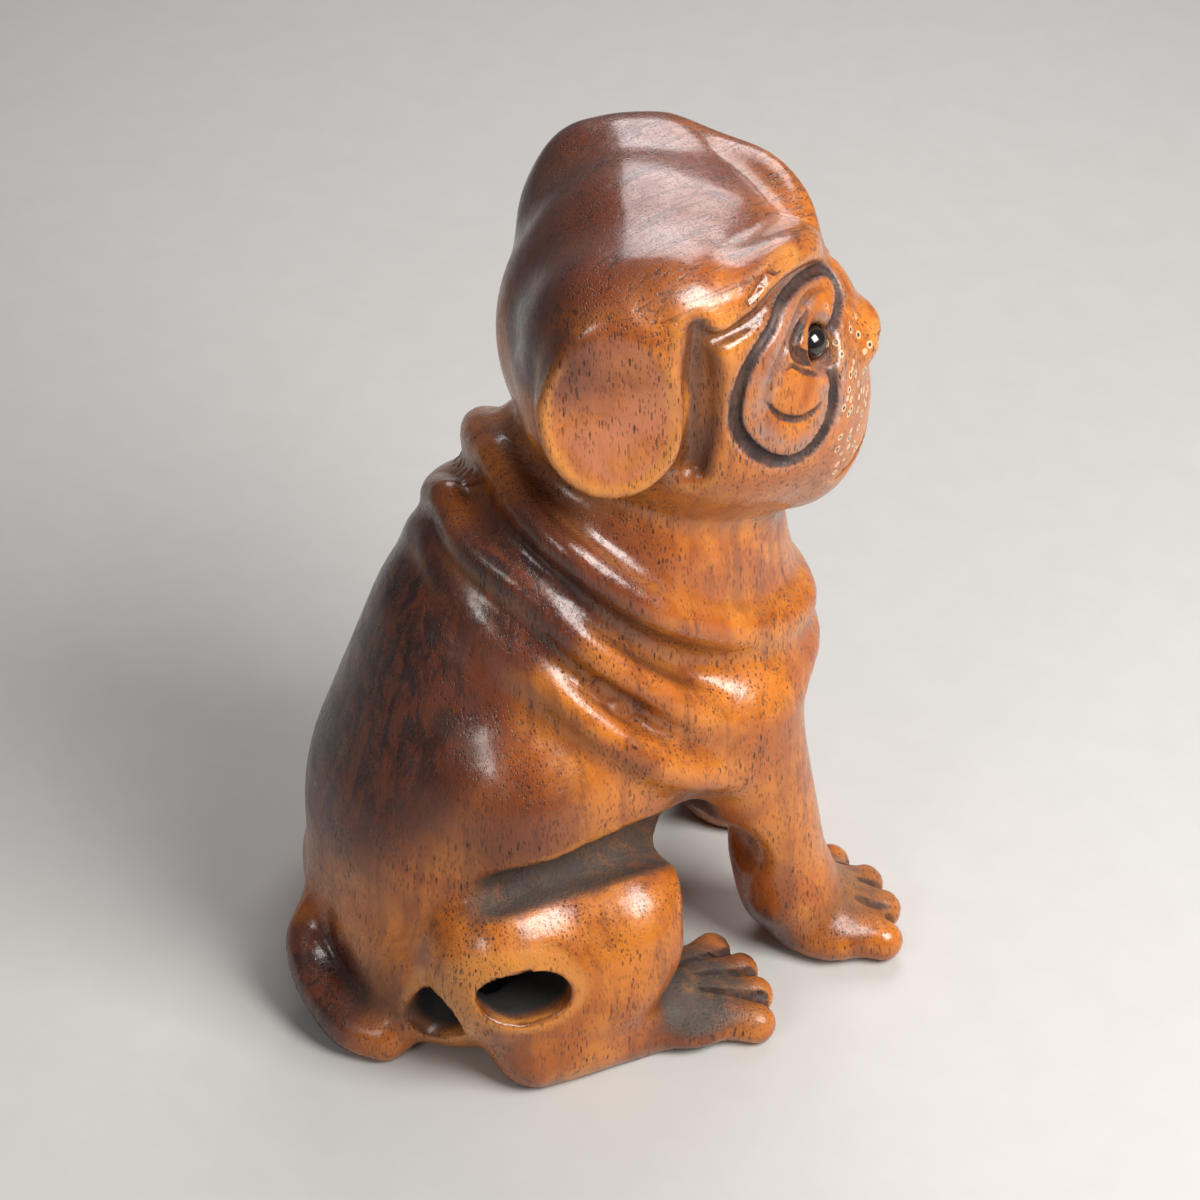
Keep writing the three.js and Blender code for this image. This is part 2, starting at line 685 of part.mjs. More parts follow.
// Each eye's centre sits below the hollow's floor by what doesn't stand proud of it.
const eyeCentres = [1, -1].map((side) => {
  const look = toBody([EYE[0] + 6, side * (EYE[1] + 4), EYE[2]]);
  const inner = toBody([EYE[0] - 6, side * (EYE[1] - 4), EYE[2]]);
  const floor = surfacePoint(look, inner);
  const inwards = new THREE.Vector3(...inner).sub(new THREE.Vector3(...look)).normalize();
  return floor.multiplyScalar(UNIT).addScaledVector(inwards, EYE_DIAMETER / 2 - EYE_PROUD);
});

// The box in which the surface is looked for, in units.
const SAMPLED = { low: [-33, -38, -2 * BELOW_SOLES], high: [33, 44, CROWN + 2] };

function woodBlock() {
  const surface = surfaceOf(dog, SAMPLED.low, SAMPLED.high, SAMPLE_STEP / UNIT);
  const { points, faces } = thin(surface, SURFACE_TRIANGLES);
  const geometry = new THREE.BufferGeometry();
  geometry.setAttribute("position", new THREE.Float32BufferAttribute(points.map((v) => v * UNIT), 3));
  geometry.setIndex(faces.flat());

  let block = solidOf(geometry);
  const under = new THREE.BoxGeometry(2 * HEIGHT, 2 * HEIGHT, HEIGHT).translate(0, 0, -HEIGHT / 2);
  block = block.subtract(solidOf(under)).subtract(cordTunnel());
  for (const centre of eyeCentres) {
    const seat = new THREE.SphereGeometry(EYE_DIAMETER / 2 + EYE_CLEARANCE, BEAD_SIDES, BEAD_SIDES / 2);
    block = block.subtract(solidOf(seat.translate(...centre)));
  }
  return geometryOf(block);
}

const wood = new THREE.MeshStandardMaterial({ color: 0x9a4a1a, roughness: 0.35, metalness: 0 });
const horn = new THREE.MeshStandardMaterial({ color: 0x120e0c, roughness: 0.15, metalness: 0 });

const netsuke = new THREE.Group();
const body = new THREE.Mesh(woodBlock(), wood);
body.name = "dog";
netsuke.add(body);

["eye_right", "eye_left"].forEach((name, i) => {
  const bead = new THREE.Mesh(new THREE.SphereGeometry(EYE_DIAMETER / 2, BEAD_SIDES, BEAD_SIDES / 2), horn);
  bead.name = name;
  bead.position.copy(eyeCentres[i]);
  netsuke.add(bead);
});

// The origin is the middle of the figure's box, level with the soles.
const middle = new THREE.Box3().setFromObject(netsuke).getCenter(new THREE.Vector3());
netsuke.children.forEach((mesh) => mesh.position.sub(middle.setZ(0)));

export default netsuke;
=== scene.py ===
"""The looks of a carved wooden netsuke: a seated puppy that looks back over its right shoulder."""

import math

import bmesh
import bpy
import numpy as np
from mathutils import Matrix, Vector


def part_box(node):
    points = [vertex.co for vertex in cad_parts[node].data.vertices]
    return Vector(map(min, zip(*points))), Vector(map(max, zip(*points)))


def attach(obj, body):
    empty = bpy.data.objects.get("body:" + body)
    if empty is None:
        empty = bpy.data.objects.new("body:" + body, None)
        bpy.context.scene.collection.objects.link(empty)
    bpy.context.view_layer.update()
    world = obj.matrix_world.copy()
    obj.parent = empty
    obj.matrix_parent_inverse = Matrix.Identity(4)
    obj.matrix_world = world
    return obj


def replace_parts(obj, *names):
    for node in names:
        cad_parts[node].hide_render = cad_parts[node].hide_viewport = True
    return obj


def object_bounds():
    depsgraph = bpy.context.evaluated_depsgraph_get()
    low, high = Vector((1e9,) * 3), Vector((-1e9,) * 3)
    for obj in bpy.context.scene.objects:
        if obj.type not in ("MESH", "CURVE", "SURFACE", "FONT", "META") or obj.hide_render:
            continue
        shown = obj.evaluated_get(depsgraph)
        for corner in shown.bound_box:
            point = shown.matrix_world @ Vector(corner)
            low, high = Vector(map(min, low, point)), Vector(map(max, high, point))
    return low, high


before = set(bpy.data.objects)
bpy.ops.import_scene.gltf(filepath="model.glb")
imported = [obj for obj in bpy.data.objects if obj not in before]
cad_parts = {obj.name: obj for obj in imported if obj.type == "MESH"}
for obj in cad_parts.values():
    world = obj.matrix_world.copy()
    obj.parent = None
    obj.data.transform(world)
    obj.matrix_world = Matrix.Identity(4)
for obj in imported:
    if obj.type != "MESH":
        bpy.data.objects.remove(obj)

bl_info = {
    "name": "Puppy netsuke",
    "version": (1, 0, 0),
    "blender": (4, 5, 0),
    "location": "View3D > Sidebar > Netsuke",
    "description": "Carves, inlays and finishes a seated puppy in polished boxwood",
    "category": "Object",
}

BODY = "root"
MM = 0.001
CAD_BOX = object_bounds()

# The carving is drawn in shares of its height: one unit is a hundredth of it, and the ears reach
# CROWN units. Body coordinates are x, y, z. Head coordinates are forward, side and up, where the
# puppy's right is positive, and the head is turned to its own right about an upright axis.
CROWN = 100.6
UNIT = CAD_BOX[1].z / CROWN
HEAD_TURN = math.radians(20)
HEAD_AXIS_Y = -2.0
BLEND_REACHES = 4  # further off than so many of its radii a rope no longer blends with anything


def middle(node):
    """The middle of a CAD node's box."""
    low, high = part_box(node)
    return (low + high) / 2


def carving_place():
    """Where the carving's own origin lies, from its eyes, which mirror each other in the head."""
    between = (middle("eye_right") + middle("eye_left")) / 2
    forward = -between.x / math.sin(HEAD_TURN)
    return np.array([0.0, between.y - HEAD_AXIS_Y * UNIT + forward * math.cos(HEAD_TURN), 0.0])


PLACE = carving_place()


def to_units(points):
    return (points - PLACE) / UNIT


def to_metres(points):
    return np.asarray(points) * UNIT + PLACE


# Forms. Each is a function of an array of points: below zero inside the wood, above zero outside.
# join and carve start with how softly the forms run together, in units.

TINY = 1e-9


def length(v):
    return np.sqrt(np.einsum("ij,ij->i", v, v))


def ball(centre, radii):
    c, r = np.array(centre, float), np.array(radii, float)

    def form(p):
        q = (p - c) / r
        k, g = length(q), length(q / r)
        return k * (k - 1) / np.maximum(g, TINY)

    return form


def limb(a, b):
    """A round limb between two points with a radius at each end."""
    start, end = np.array(a[:3], float), np.array(b[:3], float)
    axis = end - start

    def form(p):
        q = p - start
        t = np.clip(q @ axis / (axis @ axis), 0, 1)
        return length(q - t[:, None] * axis) - a[3] - (b[3] - a[3]) * t

    return form


def smooth_line(knots, steps, closed=False):
    """A smooth line through knots, each of any number of values, with so many steps to a knot."""
    knots = np.array(knots, float)
    n = len(knots)
    pick = (lambda i: i % n) if closed else (lambda i: min(n - 1, max(0, i)))
    out = []
    for i in range(n if closed else n - 1):
        p, a, b, q = (knots[pick(i + k)] for k in (-1, 0, 1, 2))
        for t in np.arange(steps) / steps:
            bend = 2 * p - 5 * a + 4 * b - q + t * (3 * a - p - 3 * b + q)
            out.append(a + 0.5 * t * (b - p + t * bend))
    out.append(out[0] if closed else knots[-1])
    return np.array(out)


def rope(knots, steps=4, closed=False):
    """A rope of limbs along a smooth line of knots (x, y, z, radius)."""
    line = smooth_line(knots, steps, closed)
    links = [limb(a, b) for a, b in zip(line[:-1], line[1:])]
    reach = line[:, 3].max()
    low, high = line[:, :3].min(0) - reach, line[:, :3].max(0) + reach

    def form(p):
        d = np.maximum(low - p, p - high).max(1)
        near = d <= BLEND_REACHES * reach
        if near.any():
            d[near] = np.min([link(p[near]) for link in links], axis=0)
        return d

    return form


def join(soft, *forms):
    def form(p):
        d = forms[0](p)
        for other in forms[1:]:
            e = other(p)
            h = np.maximum(soft - np.abs(d - e), 0) / soft
            d = np.minimum(d, e) - h * h * soft / 4
        return d

    return form


def carve(soft, block, *cuts):
    rest = join(soft, lambda p: -block(p), *cuts)
    return lambda p: -rest(p)


def both_sides(form):
    """Paired limbs are drawn on the puppy's right, where x is negative."""
    return lambda p: form(folded(p, 0))


def both_cheeks(form):
    """The same in head coordinates, where the puppy's right is positive."""
    return lambda h: form(folded(h, 1))


def head_points(p):
    """Forward, side and up of an array of points in body coordinates."""
    sin, cos = math.sin(HEAD_TURN), math.cos(HEAD_TURN)
    v = p[:, 1] - HEAD_AXIS_Y
    return np.column_stack([-p[:, 0] * sin - v * cos, -p[:, 0] * cos + v * sin, p[:, 2]])


def folded(p, axis):
    """The points, each laid over on the right side of the puppy."""
    out = p.copy()
    out[:, axis] = np.abs(out[:, axis]) * (-1 if axis == 0 else 1)
    return out


# Body

TOES = 4
HIND_TOES = (-14.4, -27.4)  # the sideways places of the innermost and the outermost toe
FORE_TOES = (-5.4, -20.2)
TOE_DROOP = 0.6
GROOVE_ENDS = (0.2, 0.7)  # radii of a toe groove on the instep and at the tips


def torso():
    return join(
        6,
        ball([0, 14, 22], [20, 21, 26]),
        ball([0, 16, 10], [18, 17.5, 13]),
        ball([0, 9, 41], [16.6, 19, 22]),
        ball([0, -9, 41], [15.5, 15.3, 17]),
        ball([0, -2.2, 57.5], [16.3, 18.6, 17.5]),
        both_sides(limb([-12.4, 14, 33.4, 9.5], [-11.8, 2, 35.4, 9])),
        both_sides(ball([-9.5, 21, 8], [12, 11.2, 9.5])),
    )


def toe_root(x, inner, outer):
    """Where a toe at x starts on the foot, half as far from its middle line."""
    return x / 2 + (inner + outer) / 4


def toes(inner, outer, back, front, fan, root, tip, height):
    """A fan of toes, each a limb from the middle of the foot to its own tip."""
    out = []
    for i in range(TOES):
        s = i / (TOES - 1)
        x = inner + (outer - inner) * s
        reach = front + fan * (2 * s - 1) ** 2
        heel = [toe_root(x, inner, outer), back, height, root]
        out.append(limb(heel, [x, reach, height - TOE_DROOP, tip]))
    return out


def toe_grooves(inner, outer, back, front, high, low):
    """The cuts between the toes, from the top of the foot down to its edge."""
    out = []
    for i in range(TOES - 1):
        x = inner + (outer - inner) * (i + 0.5) / (TOES - 1)
        top = [toe_root(x, inner, outer), back, high, GROOVE_ENDS[0]]
        out.append(limb(top, [x, front, low, GROOVE_ENDS[1]]))
    return out


def toe_cuts():
    hind = toe_grooves(*HIND_TOES, -1.5, -10.5, 5.9, 3.6)
    return hind + toe_grooves(*FORE_TOES, -23.5, -31, 6.4, 4.2)


def front_leg():
    return join(
        3,
        limb([-11, -10.3, 36, 8.8], [-12.3, -18.7, 8, 5.2]),
        limb([-12.3, -18.7, 8, 5.2], [-12.3, -21.5, 4, 5]),
    )


def front_paw():
    return join(
        1.1,
        ball([-12.8, -23.4, 2.6], [8.3, 6.8, 4.0]),
        *toes(*FORE_TOES, -23, -30, 2.4, 2.9, 2.4, 2.9),
    )


def haunch():
    return join(
        5,
        limb([-16.7, 18.5, 15, 10], [-17.3, 7.6, 14.8, 9.6]),
        limb([-18.5, 18, 10, 7.4], [-19, 8, 10, 7.4]),
        limb([-19, 4.8, 16, 7.5], [-21.5, 13, 6, 5.5]),
    )


def hind_foot():
    return join(
        1.1,
        limb([-22.7, 17, 3.6, 4.9], [-22, 0, 2.6, 4.5]),
        ball([-20.8, -1.9, 2.4], [7.6, 7, 3.3]),
        *toes(*HIND_TOES, -3, -10, 1.8, 2.6, 2.3, 2.7),
    )


TAIL = [
    [-13.5, 32, 2.6, 3.2],
    [-10.5, 35, 3, 3.1],
    [-5, 36.8, 5.2, 2.8],
    [-1, 36.6, 8.4, 2.6],
    [1, 33.6, 11.4, 2.6],
]

# Loose skin hangs round the neck in three collars, high on the nape and low on the chest.
NECK_FOLDS = [
    [
        [0, 12.2, 69, 1.9],
        [-8, 11.2, 66.6, 1.9],
        [-14, 7.8, 63.2, 1.9],
        [-17, 0.7, 56.9, 1.9],
        [-16, -6, 52, 1.9],
        [-13.6, -12.8, 48.3, 2],
        [-8.5, -20.6, 46.2, 1.9],
        [0, -22.8, 45.2, 1.6],
    ],
    [
        [0, 17.8, 64.8, 2],
        [-5.5, 16.8, 61.8, 2],
        [-11.6, 12.4, 58.4, 1.8],
        [-16.6, 7, 52.3, 1.8],
        [-18, -4, 42.2, 2],
        [-15.3, -12, 38.3, 2.2],
        [-8.5, -21, 39.5, 2],
        [0, -23.8, 39.5, 1.8],
    ],
    [
        [0, 19, 59.3, 1.9],
        [-5.5, 18.4, 57, 1.9],
        [-11.8, 14.8, 52, 1.9],
        [-17.2, 10.2, 46.8, 1.8],
        [-20.4, 3.5, 40.3, 1.9],
        [-19.6, -4, 34.6, 1.9],
        [-15.5, -11.5, 31, 1.6],
        [-10, -17, 30, 1],
    ],
]

FLANK_SLOT = [
    [-20, 27.5, 24, 1],
    [-20.8, 21, 25.4, 2.2],
    [-20.4, 12, 26.8, 3],
    [-18.8, 4, 26.8, 3.6],
    [-15.5, -3, 24.6, 4.2],
]


def belly_gap():
    """The gap from side to side under the belly, and the one between the front legs."""
    return join(
        4,
        limb([-40, -6.7, 16.6, 6.3], [40, -6.7, 16.6, 6.3]),
        limb([-40, -4.5, 6, 7.5], [40, -4.5, 6, 7.5]),
        limb([0, -40, 6, 3.4], [0, -5, 6, 4.5]),
        limb([0, -40, 15, 2], [0, -5, 15, 3.5]),
    )


# The cord tunnel: a wide bore for the knot and a narrow one for the cord, which meet inside.
CORD_MOUTHS = {"wide": [-26.4, 19.6, 14.6], "narrow": [-19.4, 28.4, 8]}
CORD_INWARDS = np.array([0.55, -0.6, 0.58])
CORD_DEPTH = 4.5 * MM / UNIT
CORD_HOLE = [5.2 * MM / UNIT, 3.3 * MM / UNIT]
CORD_EXIT = 3.4 * MM / UNIT
MOUTH_OVERRUN = 1 * MM / UNIT


def bore(mouth, end, width, height):
    """A round-ended bore, width across and height up and down, out past its mouth."""
    mouth, end = np.array(mouth, float), np.array(end, float)
    along = (mouth - end) / np.linalg.norm(mouth - end)
    across = np.cross([0, 0, 1], along)
    across /= np.linalg.norm(across)
    up = np.cross(across, along)
    depth = np.linalg.norm(mouth - end) + MOUTH_OVERRUN
    small = min(width, height) / 2

    def form(p):
        q = p - end
        t = q @ along
        a, b = q @ across / (width / 2), q @ up / (height / 2)
        inner = np.minimum(t, 0) / small
        return np.maximum((np.sqrt(a * a + b * b + inner * inner) - 1) * small, t - depth)

    return form


def cord_tunnel():
    wide, narrow = (np.array(CORD_MOUTHS[m]) for m in ("wide", "narrow"))
    meeting = (wide + narrow) / 2 + CORD_INWARDS / np.linalg.norm(CORD_INWARDS) * CORD_DEPTH
    return join(0.3, bore(wide, meeting, *CORD_HOLE), bore(narrow, meeting, CORD_EXIT, CORD_EXIT))


# Head


def skull():
    return join(
        7,
        ball([2, 0, 82], [15, 16.5, 16.5]),
        ball([9.5, 0, 77.5], [15.3, 17.5, 17.3]),
        limb([2, 12, 92, 6.3], [2, 0, 92, 7]),
        limb([10.4, 9, 88.4, 7.3], [10.8, 0, 88.6, 7.3]),
    )


def muzzle():
    return join(
        4,
        ball([18.9, 0, 72.6], [8.5, 10.8, 12.4]),
        ball([18.5, 0, 83], [7, 7, 7]),
        ball([16.4, 7.5, 79], [7.2, 6.4, 9]),
    )


def nose():
    return join(1.5, ball([25.8, 0, 81.6], [2.4, 3.4, 2.2]), ball([25.7, 2.4, 80.9], [1.9, 2, 1.7]))


NOSTRIL = ([27.6, 1.9, 81], [1.1, 0.9, 0.8])
MOUTH = [
    [28, 0, 78.6, 0.5],
    [28.3, 0, 75, 0.6],
    [27.1, 2.4, 71.6, 0.7],
    [25.2, 5.6, 69, 0.5],
    [23, 8, 67.8, 0.2],
]
BROW_ROLL = [
    [6.5, 15, 94, 2.6],
    [11, 13.2, 94.4, 2.8],
    [15.2, 9.2, 95, 2.8],
    [18, 4.5, 93.8, 2.8],
    [18.8, 0, 91.8, 2.8],
]
BROW_CREASE = [
    [7.8, 19, 92.6, 0.5],
    [10, 18, 92.2, 0.7],
    [13.4, 15.9, 93, 0.7],
    [16.6, 12.2, 94.3, 0.7],
    [19.6, 7.4, 93.4, 0.6],
    [21.6, 2.6, 90.6, 0.3],
]
BROW_WRINKLE = [
    [12.6, 15.7, 94.8, 0.15],
    [13.5, 14.7, 95.6, 0.35],
    [14.6, 13.2, 96.2, 0.4],
    [16, 11.4, 96.5, 0.4],
    [17.6, 9, 96.3, 0.15],
]
EAR_GROOVE = [
    [7.2, 19, 93.6, 0.5],
    [7.6, 18.9, 89, 1.2],
    [7.8, 18.4, 82, 1.4],
    [7.2, 17, 75.6, 1],
]

# The deep ring of skin round each eye and the hollow that the eye sits in.
EYE_RING = [
    [20.9, 3.5, 90.9, 0.57],
    [18.6, 8.2, 92.7, 0.62],
    [16.5, 12.4, 92.9, 0.67],
    [15.4, 14.9, 91.3, 0.67],
    [13.6, 16.9, 89.4, 0.67],
    [12.2, 17.8, 86.8, 0.70],
    [11.6, 17.9, 83.1, 0.70],
    [11.8, 17.8, 80.5, 0.75],
    [13.5, 17.1, 77.5, 0.75],
    [16.1, 15.8, 75, 0.75],
    [18.7, 14.6, 74.6, 0.75],
    [20.8, 13.5, 76.1, 0.75],
    [22.2, 12.4, 79.2, 0.75],
    [22.3, 11.2, 83, 0.75],
    [22.2, 9.4, 85.9, 0.70],
    [22.8, 6.7, 87, 0.67],
    [23.3, 3.5, 88, 0.57],
    [22.3, 2.3, 89.7, 0.57],
]
EYE_HOLLOW = ([21.6, 10.9, 86.6], [2.4, 3, 3.4])
RING_STEPS = 3

EAR = {"middle": [-1.3, 18.6, 84.6], "half": [7.9, 2.0, 10.9]}  # forward, side and up
LEFT_EAR_FORWARD = 1.8  # the left ear is cut this much further forward than the right
EAR_NARROWING, EAR_BULGE, EAR_LEAN = 0.22, 0.7, 0.04
EAR_EDGE = 1.2  # how round the flap's rim is
EAR_DISH = 0.3  # how far the flap's face is dished inside its rim
DISH_RIM, DISH_RIM_FADE = 0.93, 0.1  # where the dish ends below the rim, in shares of the flap
DISH_TOP, DISH_TOP_FADE = 0.75, 0.3
EAR_ROOT = ([-2.6, 14.3, 92.6, 5], [5, 14.3, 93, 5])
EAR_PAD = ([-4.6, 12.4, 89, 5], [-4.4, 12, 78, 4.6])


def ear_place(h):
    """Across and up the flap, 1 at its rim, and how far a point lies out from its middle plane."""
    offset = h - EAR["middle"]
    up = offset[:, 2] / EAR["half"][2]
    across = offset[:, 0] / (EAR["half"][0] * (1 - EAR_NARROWING * np.maximum(0, up)))
    return across, up, offset[:, 1] + offset[:, 2] * EAR_LEAN


def ear(h):
    """An oval flap with rounded edges, bulging on both faces and dished on the outer one."""
    across, up, out = ear_place(h)
    r = np.hypot(across, up)
    bulge = EAR_BULGE * np.maximum(0, 1 - r * r)
    in_rim = np.clip((DISH_RIM - r) / DISH_RIM_FADE, 0, 1)
    dish = EAR_DISH * in_rim * np.clip((DISH_TOP - up) / DISH_TOP_FADE, 0, 1)
    edge = (r - 1) * EAR["half"][0] + EAR_EDGE
    face = np.abs(out + bulge) - EAR["half"][1] + EAR_EDGE + np.where(out > 0, dish, 0)
    outside = np.sqrt(np.maximum(edge, 0) ** 2 + np.maximum(face, 0) ** 2)
    return outside + np.minimum(np.maximum(edge, face), 0) - EAR_EDGE


def right_ear_points(h):
    """The points of both ears, the left ear's laid over on the right one."""
    out = folded(h, 1)
    out[h[:, 1] < 0, 0] -= LEFT_EAR_FORWARD
    return out


# Finer carving round the eye, which the solid is too coarse to hold
LID_LINE = [
    [21.9, 4.2, 89.4, 0.22],
    [20, 7.3, 90.5, 0.38],
    [18.4, 11, 90.8, 0.45],
    [17.2, 13.8, 89.5, 0.45],
    [15.9, 15.8, 87.2, 0.45],
    [14.9, 16.7, 84.7, 0.38],
    [14.3, 17, 83, 0.22],
]
SOCKET = [
    [19.4, 10.1, 89.9, 0.36],
    [18.4, 12.5, 89.3, 0.66],
    [17.8, 13.9, 88, 0.77],
    [18.6, 13.6, 86.6, 0.77],
    [20, 12.5, 85.8, 0.71],
    [21.2, 11.2, 85.6, 0.59],
]
LOWER_LID_LINE = [
    [16.5, 15.5, 86.1, 0.17],
    [17.6, 14.6, 86.3, 0.24],
    [18.9, 13.9, 85, 0.28],
    [20.4, 12.9, 84.1, 0.28],
    [21.3, 11.8, 84.4, 0.21],
]
CRESCENT = [
    [14.9, 16.7, 83.2, 0.12],
    [15.7, 16.3, 81.7, 0.28],
    [16.8, 15.9, 80.6, 0.37],
    [18.5, 15, 79.8, 0.40],
    [19.8, 14.3, 80, 0.37],
    [20.9, 13.4, 80.7, 0.15],
]


def eye_ring():
    return rope(EYE_RING, RING_STEPS, closed=True)


def face_cuts():
    """The narrow cuts in the face, whose bottoms are painted darkest, as painted shade."""
    lines = [rope(k) for k in (CRESCENT, SOCKET, LOWER_LID_LINE, MOUTH)]
    return [eye_ring(), *lines, ball(*NOSTRIL)]


def head():
    ear_base = join(3, limb(*EAR_PAD), limb(*EAR_ROOT))
    masses = join(6, join(4, skull(), muzzle()), ear_base)
    face = both_cheeks(join(2, masses, rope(BROW_ROLL), nose()))
    eared = join(2.5, face, lambda h: ear(right_ear_points(h)))
    grooved = carve(2.5, eared, both_cheeks(rope(EAR_GROOVE)))
    soft = carve(0.9, grooved, both_cheeks(rope(BROW_CREASE)), both_cheeks(ball(*EYE_HOLLOW)))
    sharp = [both_cheeks(form) for form in face_cuts()]
    faint = [both_cheeks(rope(k)) for k in (BROW_WRINKLE, LID_LINE)]
    return carve(0.35, soft, *sharp, *faint)


EYES = ("eye_right", "eye_left")


def eye_seats(bead_radius, gap):
    seats = [ball(to_units(np.array(middle(n))), [(bead_radius + gap) / UNIT] * 3) for n in EYES]
    return lambda p: np.minimum(seats[0](p), seats[1](p))


def puppy():
    """The whole carving without the cord tunnel and the seats of the eyes."""
    bare = join(5, torso(), both_sides(front_leg()))
    trunk = join(2.6, bare, *(both_sides(rope(k)) for k in NECK_FOLDS))
    seated = carve(2, join(1.5, trunk, both_sides(haunch())), belly_gap())
    slotted = carve(0.8, seated, both_sides(rope(FLANK_SLOT)))
    turned_head = head()
    whole = join(
        2.5,
        slotted,
        both_sides(front_paw()),
        both_sides(hind_foot()),
        rope(TAIL),
        lambda p: turned_head(head_points(p)),
    )
    return carve(0.45, whole, *(both_sides(cut) for cut in toe_cuts()))


def bored(whole, bead_radius, gap):
    """The carving with its cord tunnel and its eye seats, cut flat under the soles."""
    tunnelled = carve(0.5, whole, cord_tunnel())
    seats = eye_seats(bead_radius, gap)
    return lambda p: np.maximum(np.maximum(tunnelled(p), -seats(p)), -p[:, 2])


SLOPE_REACH = 0.04
LEAST_SLOPE = 0.3  # squared: a flatter form than this doesn't send a point further


def slope(form, p):
    """Which way, and how fast, a form rises at each point."""
    steps = np.eye(3) * SLOPE_REACH
    return np.column_stack([(form(p + s) - form(p - s)) / (2 * SLOPE_REACH) for s in steps])


def settle(form, p, rounds, stride):
    """Moves points along the slope of the form until they lie on its surface."""
    for _ in range(rounds):
        g = slope(form, p)
        steepness = np.maximum(np.einsum("ij,ij->i", g, g), LEAST_SLOPE)
        move = np.clip(form(p) / steepness, -stride, stride)
        p = p - g * move[:, None]
    return p


# Mesh helpers


def scene_piece(name, mesh, material):
    obj = bpy.data.objects.new(name, mesh)
    bpy.context.scene.collection.objects.link(obj)
    mesh.materials.clear()
    mesh.materials.append(material)
    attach(obj, BODY)
    return obj


def points_of(mesh):
    co = np.empty(len(mesh.vertices) * 3)
    mesh.vertices.foreach_get("co", co)
    return co.reshape(-1, 3)


def move_points(mesh, points):
    mesh.vertices.foreach_set("co", points.ravel())
    mesh.update()


def apply_modifiers(obj):
    bpy.context.view_layer.objects.active = obj
    for modifier in list(obj.modifiers):
        bpy.ops.object.modifier_apply(modifier=modifier.name)


def paint(mesh, name, values):
    """Writes one value for each vertex, from 0 to 1, for the materials to read."""
    layer = mesh.attributes.new(name, "FLOAT", "POINT")
    layer.data.foreach_set("value", np.clip(values, 0, 1).astype(np.float32))


def smoothstep(v, low, high):
    """0 up to low, 1 from high on, and a soft ramp between them."""
    t = np.clip((v - low) / (high - low), 0, 1)
    return t * t * (3 - 2 * t)


def falling(v, low, high):
    return 1 - smoothstep(v, low, high)


def blob(p, centre, radius, soft):
    """1 at the centre, falling to 0 at the radius."""
    return falling(length(p - np.array(centre, float)) / radius, 1 - soft, 1)


# Material helpers


def node(tree, kind, inputs=(), **settings):
    """Adds a shader node. An input is a plain value or the socket that feeds it."""
    new = tree.nodes.new("ShaderNode" + kind)
    for key, value in settings.items():
        setattr(new, key, value)
    for key, value in dict(inputs).items():
        if isinstance(value, bpy.types.NodeSocket):
            tree.links.new(value, new.inputs[key])
        else:
            new.inputs[key].default_value = value
    return new


def zone(tree, name):
    return node(tree, "Attribute", attribute_name=name).outputs["Fac"]


def stretched(tree, place, scale, turn=0.0):
    """The same place, turned about the upright axis and stretched for a drawn-out pattern."""
    turned = node(tree, "Mapping", {"Vector": place, "Rotation": (0, 0, turn)})
    return node(tree, "Mapping", {"Vector": turned.outputs[0], "Scale": scale}).outputs[0]


def noise(tree, place, size, detail=3.0, rough=0.55, twist=0.0):
    """Soft random values from 0 to 1, with features of about the given size in metres."""
    shape = {"Detail": detail, "Roughness": rough, "Distortion": twist}
    return node(tree, "TexNoise", {"Vector": place, "Scale": 1 / size, **shape}).outputs["Fac"]


def spread(tree, value, low, high, to_low=0.0, to_high=1.0):
    """A soft ramp from to_low, where the value is low, to to_high, where it is high."""
    ends = {"From Min": low, "From Max": high, "To Min": to_low, "To Max": to_high}
    ramp = node(tree, "MapRange", {"Value": value, **ends}, interpolation_type="SMOOTHSTEP")
    return ramp.outputs["Result"]


def chained(tree, operation, values):
    out = values[0]
    for value in values[1:]:
        out = node(tree, "Math", {0: out, 1: value}, operation=operation).outputs[0]
    return out


def times(tree, *values):
    return chained(tree, "MULTIPLY", values)


def plus(tree, *values):
    return chained(tree, "ADD", values)


def rgba(colour):
    return (*colour, 1.0)


def blend(tree, factor, under, over):
    """The colour over laid on the colour under."""
    new = node(tree, "Mix", data_type="RGBA")
    for index, value in ((0, factor), (6, under), (7, over)):
        if isinstance(value, bpy.types.NodeSocket):
            tree.links.new(value, new.inputs[index])
        else:
            new.inputs[index].default_value = value if index == 0 else rgba(value)
    return new.outputs[2]


def new_material(name, **plain):
    """A material with one glossy shader, its unlinked sockets set to plain values."""
    material = bpy.data.materials.new(name)
    material.use_nodes = True
    shader = material.node_tree.nodes["Principled BSDF"]
    for key, value in plain.items():
        shader.inputs[key.replace("_", " ").title().replace("Ior", "IOR")].default_value = value
    return material, material.node_tree, shader


# Finishes


DASH_CELL = (2.6, 1.6)  # widths and runs of a dash to a cell of its grid
DASH_EDGE = (0.36, 0.24)


def dashes(tree, place, width, run, share):
    """Cut vessels of the wood: short upright dark dashes, one in some cells of a grid."""
    across, down = 1 / (DASH_CELL[0] * width), 1 / (DASH_CELL[1] * run)
    cell = stretched(tree, place, (across, across, down))
    voronoi = node(tree, "TexVoronoi", {"Vector": cell, "Scale": 1.0, "Randomness": 1.0})
    lone = node(tree, "SeparateColor", {0: voronoi.outputs["Color"]}).outputs[0]
    inside = spread(tree, voronoi.outputs["Distance"], *DASH_EDGE)
    return times(tree, inside, spread(tree, lone, 1 - share, 1 - share + 0.05))


